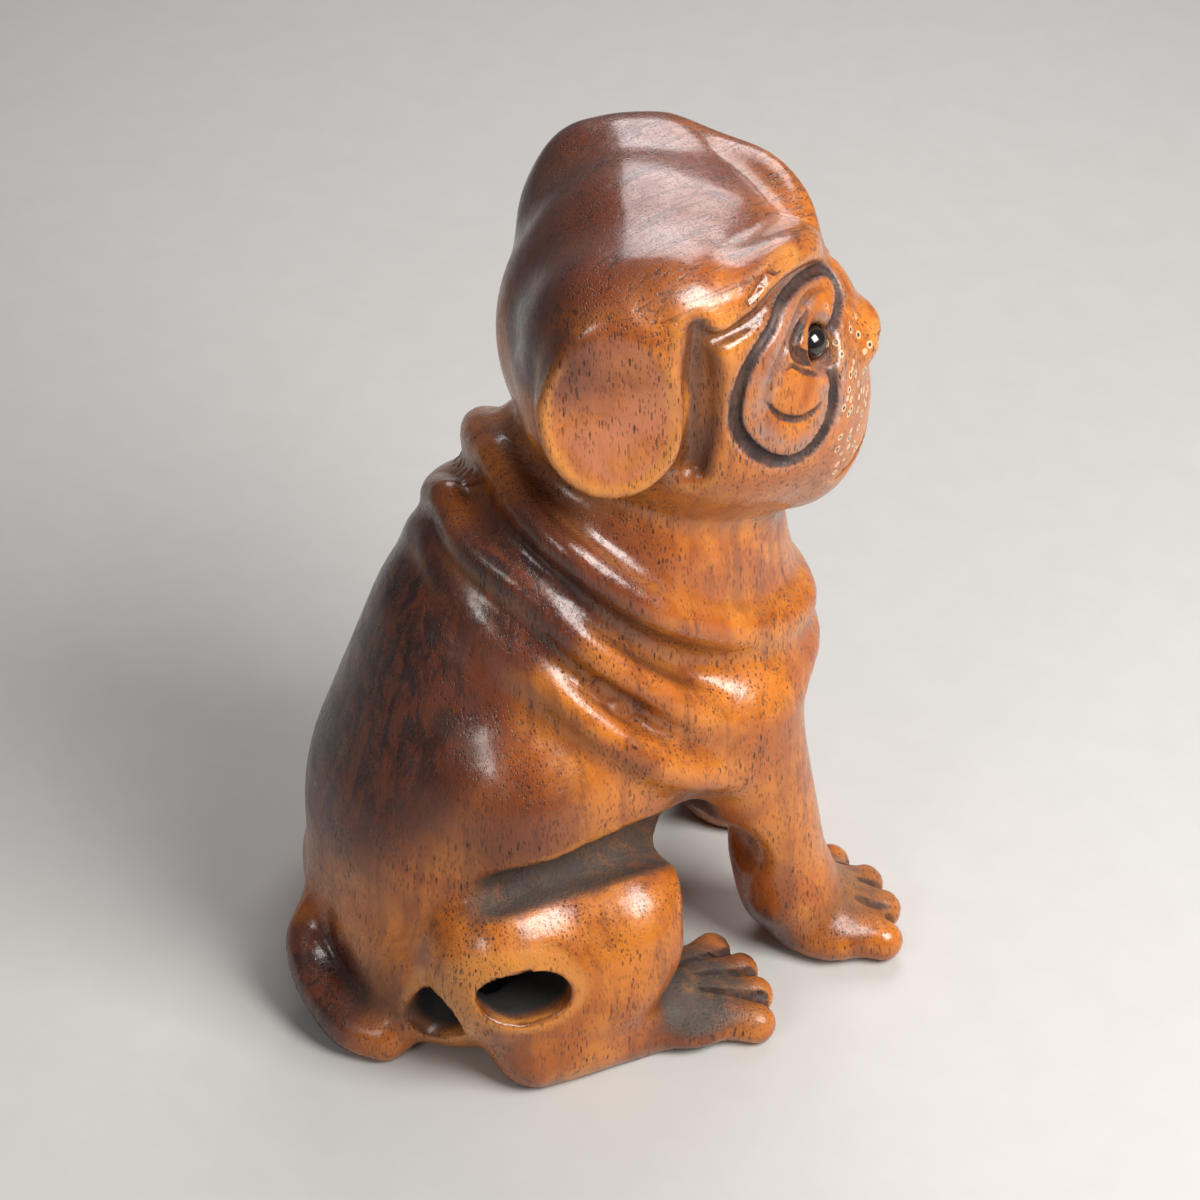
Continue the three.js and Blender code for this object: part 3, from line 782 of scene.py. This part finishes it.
def rubbed_wood(tree, place, upright, finish):
    """Honey wood in amber patches, with faint russet bands that run upright."""
    patches = spread(tree, noise(tree, place, 5 * MM, 5, 0.62, 0.6), 0.38, 0.62)
    warm = blend(tree, patches, finish.honey, finish.amber)
    bands = spread(tree, noise(tree, upright, 1.5 * MM, 5, 0.65, 0.8), 0.47, 0.66)
    return blend(tree, times(tree, bands, 0.5), warm, finish.russet)


def drawn_streaks(tree, place, upright, stain, crown):
    """Fine dark lines: along the top of the head, and downwards where the body is stained."""
    along = stretched(tree, place, (1, 0.06, 1), -HEAD_TURN)
    lines = spread(tree, noise(tree, along, 0.3 * MM, 4, 0.6, 0.8), 0.5, 0.66)
    drips = spread(tree, noise(tree, upright, 0.36 * MM, 4, 0.65, 0.5), 0.54, 0.66)
    below = times(tree, stain, spread(tree, crown, 0.6, 0.2))
    return plus(tree, times(tree, lines, crown, 0.65), times(tree, drips, below, 0.6))


def stained_wood(tree, wood, upright, stain, crown, finish):
    """Russet where the stain has soaked in, with dark stripes where it is deepest."""
    red = blend(tree, spread(tree, stain, 0.05, 0.6), wood, finish.russet)
    stripes = spread(tree, noise(tree, upright, 1.1 * MM, 6, 0.68, 0.7), 0.4, 0.58)
    plainer = spread(tree, crown, 0, 1, 1, 0.35)
    deep = times(tree, spread(tree, stain, 0.35, 1.0), stripes, plainer)
    return blend(tree, deep, red, finish.umber_and_shade)


def zone_tints(tree, wood, place, finish):
    """The pinkish ear and its rim, a painted sheen round the eye, painted shade in the hollows, and
    the rubbed edges, which are also painted highlights.
    """
    clouds = spread(tree, noise(tree, place, 2.4 * MM, 5, 0.65, 0.5), 0.35, 0.62, 0.2, 0.8)
    sheen_mottle = spread(tree, noise(tree, place, 0.8 * MM, 4, 0.6), 0.3, 0.65, 0.3, 0.85)
    tints = [
        ("blush", clouds, finish.blush),
        ("rim", 0.2, finish.honey),
        ("eye_sheen", sheen_mottle, finish.eye_sheen),
        ("hollow_shade", 0.75, finish.umber_and_shade),
        ("crest", 0.6, finish.worn_and_highlight),
    ]
    for name, strength, tint in tints:
        wood = blend(tree, times(tree, zone(tree, name), strength), wood, tint)
    return wood


def open_pores(tree, place):
    """Fine and long cut vessels, crowded in some places and scarce in others."""
    fine = dashes(tree, place, 0.055 * MM, 0.34 * MM, 0.8)
    drawn_out = dashes(tree, place, 0.075 * MM, 0.6 * MM, 0.45)
    crowded = spread(tree, noise(tree, place, 3 * MM, 4, 0.6), 0.36, 0.6, 0.2, 1)
    return times(tree, plus(tree, times(tree, fine, 0.6), times(tree, drawn_out, 0.85)), crowded)


PIT_SPACING = 0.72 * MM
PIT_RIM, PIT_HOLE = (0.38, 0.28), (0.2, 0.13)  # shares of the spacing where each starts and is full


def drilled_pits(tree, place):
    """The rims and the holes of the pits that are drilled all over the muzzle, for painted glints
    on the rims and painted shade in the holes.
    """
    dots = node(tree, "TexVoronoi", {"Vector": place, "Scale": 1 / PIT_SPACING, "Randomness": 0.7})
    spots = zone(tree, "muzzle")
    away = dots.outputs["Distance"]
    return [times(tree, spots, spread(tree, away, *edge)) for edge in (PIT_RIM, PIT_HOLE)]


def boxwood(finish):
    """Stained, waxed boxwood: honey where it is rubbed, russet on the back, and painted shade, near
    black, in the cuts.
    """
    material, tree, shader = new_material("boxwood", coat_roughness=0.16, ior=1.5)
    place = node(tree, "TexCoord").outputs["Object"]
    upright = stretched(tree, place, (1, 1, 0.09))
    names = ("stain", "crown", "dust_and_shade", "recess_shade", "bored")
    stain, crown, dust_and_shade, recess_shade, bore_shade = (zone(tree, name) for name in names)
    streaked = drawn_streaks(tree, place, upright, stain, crown)
    pores = open_pores(tree, place)
    rim, pit = drilled_pits(tree, place)
    # Grey dust, which in the slot, under the arm and by the tail is also painted shade.
    grime_and_shade = spread(tree, noise(tree, place, 0.9 * MM, 5, 0.7), 0.25, 0.6, 0.55, 1)
    grime_and_shade = times(tree, dust_and_shade, grime_and_shade)
    # Painted shade, near black, at the bottom of the cuts.
    black = spread(tree, noise(tree, place, 1.2 * MM, 4, 0.65), 0.35, 0.6, 0.5, 0.92)
    black = times(tree, spread(tree, recess_shade, 0.1, 0.9), black)

    wood = rubbed_wood(tree, place, upright, finish)
    wood = stained_wood(tree, wood, upright, stain, crown, finish)
    wood = blend(tree, streaked, wood, finish.umber_and_shade)
    wood = zone_tints(tree, wood, place, finish)
    wood = blend(tree, times(tree, pores, 0.8), wood, finish.pore_and_pit_shade)
    wood = blend(tree, grime_and_shade, wood, finish.dust_and_shade)
    wood = blend(tree, black, wood, finish.cut)
    # Painted shade inside the cord tunnel and the eye seats.
    wood = blend(tree, bore_shade, wood, finish.bore)
    # Painted glints on the rims of the muzzle's pits, and painted shade in their holes.
    wood = blend(tree, times(tree, rim, 0.8), wood, finish.bone)
    wood = blend(tree, times(tree, pit, 0.95), wood, finish.pore_and_pit_shade)
    tree.links.new(wood, shader.inputs["Base Color"])

    polish = spread(tree, noise(tree, place, 1.6 * MM, 5, 0.65), 0.3, 0.7, 0.2, 0.4)
    dull = [times(tree, dust_and_shade, 0.35), times(tree, recess_shade, 0.3), times(tree, bore_shade, 0.5)]
    tree.links.new(plus(tree, polish, *dull), shader.inputs["Roughness"])
    bare = plus(tree, dust_and_shade, recess_shade, bore_shade)
    waxed = times(tree, spread(tree, bare, 0, 0.8, 1, 0), spread(tree, crown, 0, 1, 0.28, 0.6))
    tree.links.new(waxed, shader.inputs["Coat Weight"])

    fine = noise(tree, place, 0.22 * MM, 3, 0.6)
    facets = noise(tree, place, 1.3 * MM, 2, 0.5)
    height = plus(
        tree,
        times(tree, fine, 0.14),
        times(tree, facets, 0.8),
        times(tree, pores, -0.9),
        times(tree, streaked, -0.25),
        times(tree, rim, 0.6),
        times(tree, pit, -2.2),
        times(tree, grime_and_shade, fine, 1.2),
    )
    bump = node(tree, "Bump", {"Height": height, "Strength": 0.6, "Distance": 0.12 * MM})
    tree.links.new(bump.outputs[0], shader.inputs["Normal"])
    return material


def black_horn(finish):
    """Polished black horn with a faint brown cloud in it."""
    coat = {"coat_weight": 0.6, "coat_roughness": 0.03}
    material, tree, shader = new_material("black_horn", ior=1.55, **coat)
    place = node(tree, "TexCoord").outputs["Object"]
    cloud = noise(tree, stretched(tree, place, (1, 1, 0.4)), 0.7 * MM, 3, 0.6, 0.8)
    colour = blend(tree, spread(tree, cloud, 0.5, 0.75), finish.horn, finish.horn_cloud)
    tree.links.new(colour, shader.inputs["Base Color"])
    tree.links.new(spread(tree, cloud, 0.3, 0.7, 0.08, 0.16), shader.inputs["Roughness"])
    scratches = noise(tree, stretched(tree, place, (1, 0.1, 1)), 0.06 * MM, 2, 0.5)
    bump = node(tree, "Bump", {"Height": scratches, "Strength": 0.1, "Distance": 0.01 * MM})
    tree.links.new(bump.outputs[0], shader.inputs["Normal"])
    return material


TOOTH_SHADE = 0.96


def plain_floor(colour):
    """A pale matt table with a barely visible tooth."""
    material, tree, shader = new_material("pale_floor", roughness=0.8)
    place = node(tree, "TexCoord").outputs["Object"]
    tooth = noise(tree, place, 3 * MM, 4, 0.6)
    tone = blend(tree, spread(tree, tooth, 0.2, 0.8), colour, [c * TOOTH_SHADE for c in colour])
    tree.links.new(tone, shader.inputs["Base Color"])
    return material


# Settings that a user would change


def colour_setting(name, description, default):
    return bpy.props.FloatVectorProperty(
        name=name, description=description, default=default, subtype="COLOR", size=3, min=0, max=1
    )


def number_setting(name, description, default, unit="NONE"):
    return bpy.props.FloatProperty(
        name=name, description=description, default=default, unit=unit, min=0
    )


def size_setting(name, description, default):
    return number_setting(name, description, default, "LENGTH")


class CarvingSettings(bpy.types.PropertyGroup):
    stock_grid: size_setting("Stock grid", "Spacing of the points on the plain wood", 0.36 * MM)
    seat_gap: size_setting("Seat gap", "Between a bead and the wood round it", 0.05 * MM)
    fine_reach: size_setting("Fine reach", "Where round the eye points are doubled", 11.5 * MM)


class FinishSettings(bpy.types.PropertyGroup):
    honey: colour_setting("Honey", "Rubbed wood of cheek, chest and haunch", (0.54, 0.165, 0.016))
    amber: colour_setting("Amber", "Darker patches of the rubbed wood", (0.37, 0.092, 0.010))
    russet: colour_setting("Russet", "Stained wood of the back and the skull", (0.13, 0.03, 0.011))
    # This colour is the darkest stripes of the stain, and also the painted shade in the hollows and
    # folds of the wood.
    umber_and_shade: colour_setting("Umber", "The darkest stripes of the stain", (0.030, 0.010, 0.008))
    blush: colour_setting("Blush", "The pinkish face of the ear", (0.50, 0.17, 0.085))
    # This colour paints a sheen round the eye.
    eye_sheen: colour_setting("Veil", "Greyish film of old wax round the eye", (0.27, 0.165, 0.14))
    # This colour is rubbed wear on the crests, and it also paints highlights there.
    worn_and_highlight: colour_setting("Worn", "Edges where the stain is rubbed away", (0.62, 0.25, 0.05))
    # This colour is the cut vessels of the wood, and also the painted shade in the muzzle's pits.
    pore_and_pit_shade: colour_setting("Pore", "Cut vessels of the wood", (0.022, 0.008, 0.006))
    # This colour is painted shade at the bottom of the grooves.
    cut: colour_setting("Cut", "The bottom of the carved grooves", (0.022, 0.011, 0.010))
    # This colour is painted shade, near black, inside the cord tunnel and the eye seats.
    bore: colour_setting("Bore", "Inside the cord tunnel and the eye seats", (0.004, 0.003, 0.003))
    # This colour is grey dust on the feet, and also painted shade in the slot, under the arm and by
    # the tail.
    dust_and_shade: colour_setting("Dust", "Grey wax and dust where no finger reaches", (0.060, 0.047, 0.038))
    # This colour paints glints on the rims of the muzzle's pits.
    bone: colour_setting("Bone", "Bare rims of the muzzle's pits", (0.72, 0.50, 0.30))
    horn: colour_setting("Horn", "The eyes", (0.006, 0.005, 0.005))
    horn_cloud: colour_setting("Horn cloud", "A brown cloud in the eyes", (0.02, 0.012, 0.008))


class StageSettings(bpy.types.PropertyGroup):
    floor: colour_setting("Floor", "The pale table", (0.52, 0.52, 0.50))
    window: number_setting("Window", "Main light", 0.41, "POWER")
    sky: number_setting("Sky", "Soft light from all round", 0.16)


class NetsukeSettings(bpy.types.PropertyGroup):
    carving: bpy.props.PointerProperty(type=CarvingSettings)
    finish: bpy.props.PointerProperty(type=FinishSettings)
    stage: bpy.props.PointerProperty(type=StageSettings)


def bead_radius():
    low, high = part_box(EYES[0])
    return (high.z - low.z) / 2


# The carved wood


WELD = 1e-6


def rough_block(grid):
    """An even mesh over the solid: a merged copy, its flat faces turned into a fine grid."""
    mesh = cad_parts["dog"].data.copy()
    mesh.name = "carved_puppy"
    bm = bmesh.new()
    bm.from_mesh(mesh)
    bmesh.ops.remove_doubles(bm, verts=bm.verts, dist=WELD)
    bm.to_mesh(mesh)
    bm.free()
    for name in [a.name for a in mesh.attributes if a.name.startswith("custom_normal")]:
        mesh.attributes.remove(mesh.attributes[name])
    obj = bpy.data.objects.new("carved_puppy", mesh)
    bpy.context.scene.collection.objects.link(obj)
    remesh = obj.modifiers.new("grid", "REMESH")
    remesh.mode, remesh.voxel_size, remesh.use_smooth_shade = "VOXEL", grid, True
    apply_modifiers(obj)
    return obj


def refine(mesh, wanted):
    """Doubles the points along each edge whose two ends are wanted."""
    bm = bmesh.new()
    bm.from_mesh(mesh)
    bm.verts.ensure_lookup_table()
    edges = [e for e in bm.edges if wanted[e.verts[0].index] and wanted[e.verts[1].index]]
    bmesh.ops.subdivide_edges(bm, edges=edges, cuts=1, use_grid_fill=True)
    bm.to_mesh(mesh)
    bm.free()


EYE_MIDDLE = [19.5, 11.5, 83]
FINE_SPOTS = [[-12.8, -25, 2], [-20.8, -6, 2]]
FINE_SPOT_REACH = 7.0


def finely_carved(p, reach):
    """Tells which points lie in the face, by the toes or by a cord hole, where carving is fine."""
    face = length(folded(head_points(p), 1) - EYE_MIDDLE) < reach
    paws = [length(folded(p, 0) - m) < FINE_SPOT_REACH for m in FINE_SPOTS]
    mouths = [length(p - m) < FINE_SPOT_REACH for m in CORD_MOUTHS.values()]
    return face | np.any(paws + mouths, axis=0)


def normals_of(mesh):
    out = np.empty(len(mesh.vertices) * 3)
    mesh.vertices.foreach_get("normal", out)
    return out.reshape(-1, 3)


# Zones, which the materials read. A ramp's two numbers say where it starts and where it is full, in
# units for a distance and in shares of the ear's flap across and up it.

HOLLOW_REACH, CREST_REACH, FOLD_REACH = 5.0, 1.6, 1.4  # how far off the bend of the wood is felt
RING_INSIDE = ([17.5, 11.5, 83], [7.5, 7.5, 9])
FEET = {"top": 8, "back": 8}  # up and along the body, where the feet end
CROWN_LEVEL = (90, 95)
EAR_TOP = 93

# Soft round patches: strength, the coordinates they are placed in, middle, reach and softness
STAINS = [
    (1.0, "body", [2, 32, 46], 34, 0.7),
    (0.55, "cheek", [-4, 6, 98], 22, 0.6),
    (0.5, "cheek", [9, 5, 100], 17, 0.8),
    (1.2, "cheek", [-9, 10.5, 90], 10, 0.7),
    (0.9, "body", [-12, 15, 60], 15, 0.8),
    (0.6, "cheek", [-7, 19, 90], 10, 0.9),
    (0.5, "body", [-15, 7, 62], 16, 0.9),
    (0.45, "body", [-19, 17, 34], 14, 0.8),
    (0.85, "body", [-6, 38, 5], 12, 0.7),
    (0.6, "right", [-21, 0, 3], 12, 0.8),
    (0.5, "right", [-13, -22, 3], 12, 0.8),
]
DUSTY_INSTEPS = [
    (1.0, "right", [-21.5, -1, 6], 13, 0.6),
    (0.55, "right", [-13, -26, 6], 9, 0.6),
]
# Dust with painted shade, under the arm and between the tail and the rump.
SHADED_DUSTY_CORNERS = [
    (0.8, "right", [-11, -4, 23], 9, 0.6),
    (0.6, "body", [-13, 32, 9], 7, 0.8),
]


class Surface:
    """The points of the carving, in each kind of coordinates, and how the wood bends there."""

    def __init__(self, mesh, form):
        self.body, self.normal = to_units(points_of(mesh)), normals_of(mesh)
        self.head = head_points(self.body)
        self.right, self.cheek = folded(self.body, 0), folded(self.head, 1)
        self.fold = self.closeness(form, FOLD_REACH)
        self.hollow_shade = self.closeness(form, HOLLOW_REACH)
        self.crest = self.closeness(form, -CREST_REACH)
        self.cuts = np.min([cut(self.cheek) for cut in face_cuts()], axis=0)
        self.slot = both_sides(rope(FLANK_SLOT))(self.body)
        self.across_ear, self.up_ear, self.out_of_ear = ear_place(right_ear_points(self.head))
        self.from_ear = np.hypot(self.across_ear, self.up_ear)

    def closeness(self, form, reach):
        """How much sooner than on flat wood the surface comes back, out from it or into it."""
        return 1 - form(self.body + self.normal * reach) / reach

    def patches(self, spots):
        """The strongest patch at each point."""
        shares = [share * blob(getattr(self, kind), *spot) for share, kind, *spot in spots]
        return np.max(shares, axis=0)


def in_front_of_ear(at):
    """Painted shade in the groove that runs down between each ear's rim and the cheek."""
    beyond_rim = smoothstep(at.from_ear, 0.98, 1.04) * falling(at.out_of_ear, 1.2, 2.2)
    level = smoothstep(at.head[:, 2], 72, 76) * falling(at.head[:, 2], 92, 94)
    in_front = smoothstep(at.across_ear, 0.3, 0.6) * falling(at.cheek[:, 0], 7.4, 9.6)
    return beyond_rim * in_front * level


def carved_zones(at, whole):
    """Painted shade in the cuts, a painted sheen beside the rings of the eye, and painted shade in
    the bored holes.
    """
    # Painted shade in the toe grooves and between the toes, on the floor of the flank slot and in
    # the face's cuts.
    toe_lines = 0.9 * falling(np.min([cut(at.right) for cut in toe_cuts()], axis=0), 0, 0.35)
    on_feet = (at.body[:, 2] < FEET["top"]) & (at.body[:, 1] < FEET["back"])
    between_toes = np.maximum(toe_lines, smoothstep(at.fold, 0.14, 0.55) * on_feet)
    slot_floor = 0.75 * falling(at.slot, -0.5, 0.5) * smoothstep(at.body[:, 1], 2, 12)
    # A painted sheen in bands beside the eye's ring and its lid line.
    ring, lid = eye_ring()(at.cheek), rope(LID_LINE)(at.cheek)
    inside_ring = falling(ball(*RING_INSIDE)(at.cheek), -0.8, 0.4)
    banded = np.maximum(falling(ring, 1.0, 3.0), falling(lid, 0.2, 1.3)) * inside_ring
    # Painted shade inside the cord tunnel and the eye seats, darker the deeper a point lies under
    # the outer surface.
    deep = smoothstep(-whole(at.body), 0.5, 2.2)
    not_sole = smoothstep(at.normal[:, 2], -0.95, -0.8)
    return {
        "recess_shade": np.max([falling(at.cuts, -0.02, 0.16), between_toes, slot_floor], axis=0),
        "eye_sheen": np.maximum(banded, falling(ring, 0.1, 0.9)),
        "bored": deep * not_sole,
    }


def worn_zones(at):
    """Painted shade in hollows and where the wood is folded, and pale where it stands out: rubbed
    wear, and painted highlights.
    """
    ear_groove_shade = in_front_of_ear(at)
    # Painted shade under the brow's crease, in the folds of the wood and in its hollows.
    brow_shade = 0.7 * falling(rope(BROW_CREASE)(at.cheek), -0.3, 0.8)
    fold_shade = 0.9 * smoothstep(at.fold, 0.1, 0.7)
    # Lighter on the crests: rubbed wear, and painted highlights.
    rubbed = smoothstep(at.crest, 0.1, 0.45) * falling(at.fold, 0.05, 0.3)
    return {
        "hollow_shade": np.max([smoothstep(at.hollow_shade, 0.25, 0.9), fold_shade, ear_groove_shade, brow_shade], axis=0),
        "crest": rubbed * (1 - ear_groove_shade),
    }


def head_zones(at):
    """The crown, the ear's pinkish face and pale rim, and the pitted muzzle."""
    forward, side, up = at.cheek.T
    outer_face = smoothstep(at.out_of_ear, 0, 1)
    foot_of_ear = 0.25 + 0.75 * smoothstep(at.across_ear - at.up_ear, -1.1, 0.5)
    on_rim = smoothstep(at.from_ear, 0.87, 0.95) * falling(at.from_ear, 1.0, 1.1)
    snout = smoothstep(forward, 20.5, 21.8) * smoothstep(up, 66, 69) * falling(up, 87, 90)
    cheek_line = 12.2 - 0.45 * np.maximum(0, up - 79)
    beside_nose = smoothstep(side, 2.6, 3.8) * smoothstep(cheek_line - side, 0.2, 0.9)
    return {
        "crown": smoothstep(up, *CROWN_LEVEL),
        "blush": falling(at.from_ear, 0.8, 0.95) * outer_face * foot_of_ear,
        "rim": on_rim * outer_face * (up < EAR_TOP),
        "muzzle": snout * beside_nose * smoothstep(at.cuts, 0.3, 0.9),
    }


def dusty(at):
    """Grey where no finger reaches: a grey deposit on the feet, and the same deposit with painted
    shade in the slot, under the arm and by the tail.
    """
    insteps = at.patches(DUSTY_INSTEPS) * smoothstep(at.normal[:, 2], 0.1, 0.6)
    return np.max([falling(at.slot, -0.2, 1.2), insteps, at.patches(SHADED_DUSTY_CORNERS)], axis=0)


def paint_zones(mesh, form, whole):
    """Writes where the wood is stained, rubbed, blushed, pitted, cut, bored and dusty, and where
    painted shade, sheen, highlights and glints lie.
    """
    at = Surface(mesh, form)
    zones = {"stain": at.patches(STAINS), "dust_and_shade": dusty(at)}
    zones |= carved_zones(at, whole) | worn_zones(at) | head_zones(at)
    for name, values in zones.items():
        paint(mesh, name, values)


SETTLE_ROUNDS = 4


def carved_puppy(carving, finish):
    """The plain solid, settled on the carving's form in two rounds and painted with its zones."""
    whole = puppy()
    form = bored(whole, bead_radius(), carving.seat_gap)
    obj = rough_block(carving.stock_grid)
    mesh = obj.data
    stride = carving.stock_grid / UNIT
    p = settle(form, to_units(points_of(mesh)), SETTLE_ROUNDS, stride)
    move_points(mesh, to_metres(p))
    refine(mesh, finely_carved(p, carving.fine_reach / UNIT))
    p = settle(form, to_units(points_of(mesh)), SETTLE_ROUNDS, stride / 2)
    move_points(mesh, np.clip(to_metres(p), *(np.array(corner) for corner in CAD_BOX)))
    paint_zones(mesh, form, whole)
    mesh.materials.clear()
    mesh.materials.append(boxwood(finish))
    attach(obj, BODY)
    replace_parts(obj, "dog")
    return obj


class NETSUKE_OT_carve_puppy(bpy.types.Operator):
    """Carve the puppy from the plain solid and stain, rub and wax it"""

    bl_idname = "netsuke.carve_puppy"
    bl_label = "Carve the puppy"

    def execute(self, context):
        settings = context.scene.netsuke
        carved_puppy(settings.carving, settings.finish)
        return {"FINISHED"}


# The inlaid eyes

BEAD_SIDES, BEAD_RINGS = 40, 20


def horn_bead(node_name, material):
    """A polished bead of horn, round, in the place of the plain one."""
    bm = bmesh.new()
    shape = {"u_segments": BEAD_SIDES, "v_segments": BEAD_RINGS, "radius": bead_radius()}
    bmesh.ops.create_uvsphere(bm, **shape)
    bmesh.ops.translate(bm, verts=bm.verts, vec=middle(node_name))
    for face in bm.faces:
        face.smooth = True
    mesh = bpy.data.meshes.new("horn_" + node_name)
    bm.to_mesh(mesh)
    bm.free()
    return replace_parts(scene_piece("horn_" + node_name, mesh, material), node_name)


class NETSUKE_OT_inlay_eyes(bpy.types.Operator):
    """Set a bead of black horn in each eye"""

    bl_idname = "netsuke.inlay_eyes"
    bl_label = "Inlay the eyes"

    def execute(self, context):
        material = black_horn(context.scene.netsuke.finish)
        for name in EYES:
            horn_bead(name, material)
        return {"FINISHED"}


# The stage: floor, soft light and the camera at the photograph's angle

FLOOR_WIDTH = 2.4  # metres
VIEW_SWING = math.radians(22)  # round from the puppy's right side towards its tail
VIEW_HEIGHT = math.radians(37)
VIEW_DISTANCE = 430  # units
VIEW_TARGET = (0, 0, 46)
SENSOR = 36  # millimetres
PHOTO_WIDTH = 1200  # pixels
PHOTO_SCALE = 8.9  # pixels to a unit, at the target's distance
CLIP = (0.01, 10)
SKY_TINT = (0.93, 0.95, 1.0)
LIGHTS = [
    # name, direction from the target, distance and width in units, share of the power, tint
    ("window", (-0.60, -0.40, 0.69), 320, 180, 1.0, (1.0, 0.97, 0.94)),
    ("far_wall", (0.54, -0.36, 0.64), 330, 200, 0.36, (1.0, 0.94, 0.95)),
    ("room", (-0.55, 0.72, 0.42), 360, 80, 0.12, (1.0, 0.96, 0.90)),
]


def aimed(obj, position, target):
    obj.location = Vector(position)
    obj.rotation_euler = (Vector(target) - Vector(position)).to_track_quat("-Z", "Y").to_euler()
    bpy.context.scene.collection.objects.link(obj)
    return obj


def photo_camera():
    lens = bpy.data.cameras.new("camera")
    lens.sensor_width = SENSOR
    lens.lens = SENSOR * VIEW_DISTANCE / (PHOTO_WIDTH / PHOTO_SCALE)
    lens.clip_start, lens.clip_end = CLIP
    level = np.array([-math.cos(VIEW_SWING), math.sin(VIEW_SWING), 0]) * math.cos(VIEW_HEIGHT)
    back = level + [0, 0, math.sin(VIEW_HEIGHT)]
    target = np.array(VIEW_TARGET, float)
    camera = bpy.data.objects.new("camera", lens)
    aimed(camera, to_metres(target + back * VIEW_DISTANCE), to_metres(target))
    bpy.context.scene.camera = camera


def soft_lights(power):
    target = np.array(VIEW_TARGET, float)
    for name, direction, distance, width, share, tint in LIGHTS:
        lamp = bpy.data.lights.new(name, "AREA")
        lamp.size, lamp.energy, lamp.color = width * UNIT, power * share, tint
        away = np.array(direction) / np.linalg.norm(direction) * distance
        aimed(bpy.data.objects.new(name, lamp), to_metres(target + away), to_metres(target))


def pale_sky(strength):
    world = bpy.data.worlds.new("sky")
    world.use_nodes = True
    background = world.node_tree.nodes["Background"]
    background.inputs["Color"].default_value = rgba(SKY_TINT)
    background.inputs["Strength"].default_value = strength
    bpy.context.scene.world = world


def pale_table(colour):
    bm = bmesh.new()
    bmesh.ops.create_grid(bm, x_segments=1, y_segments=1, size=FLOOR_WIDTH / 2)
    mesh = bpy.data.meshes.new("floor")
    bm.to_mesh(mesh)
    bm.free()
    mesh.materials.append(plain_floor(colour))
    floor = bpy.data.objects.new("floor", mesh)
    bpy.context.scene.collection.objects.link(floor)


class NETSUKE_OT_set_stage(bpy.types.Operator):
    """Lay the pale floor and set the soft lights and the camera"""

    bl_idname = "netsuke.set_stage"
    bl_label = "Set the stage"

    def execute(self, context):
        stage = context.scene.netsuke.stage
        pale_table(list(stage.floor))
        soft_lights(stage.window)
        pale_sky(stage.sky)
        photo_camera()
        context.scene.view_settings.view_transform = "Standard"
        return {"FINISHED"}


OPERATORS = [NETSUKE_OT_set_stage, NETSUKE_OT_carve_puppy, NETSUKE_OT_inlay_eyes]


class NETSUKE_PT_panel(bpy.types.Panel):
    """Lists the steps that make the netsuke"""

    bl_label = "Netsuke"
    bl_idname = "NETSUKE_PT_panel"
    bl_space_type = "VIEW_3D"
    bl_region_type = "UI"
    bl_category = "Netsuke"

    def draw(self, context):
        settings = context.scene.netsuke
        for operator in OPERATORS:
            self.layout.operator(operator.bl_idname)
        for group in (settings.carving, settings.finish, settings.stage):
            box = self.layout.box()
            for name in group.bl_rna.properties.keys():
                if name not in ("rna_type", "name"):
                    box.prop(group, name)


SETTINGS = [CarvingSettings, FinishSettings, StageSettings, NetsukeSettings]
CLASSES = [*SETTINGS, *OPERATORS, NETSUKE_PT_panel]


def register():
    for cls in CLASSES:
        bpy.utils.register_class(cls)
    bpy.types.Scene.netsuke = bpy.props.PointerProperty(type=NetsukeSettings)


def unregister():
    del bpy.types.Scene.netsuke
    for cls in reversed(CLASSES):
        bpy.utils.unregister_class(cls)


def main():
    register()
    bpy.ops.netsuke.set_stage()
    bpy.ops.netsuke.carve_puppy()
    bpy.ops.netsuke.inlay_eyes()


if __name__ == "__main__":
    main()
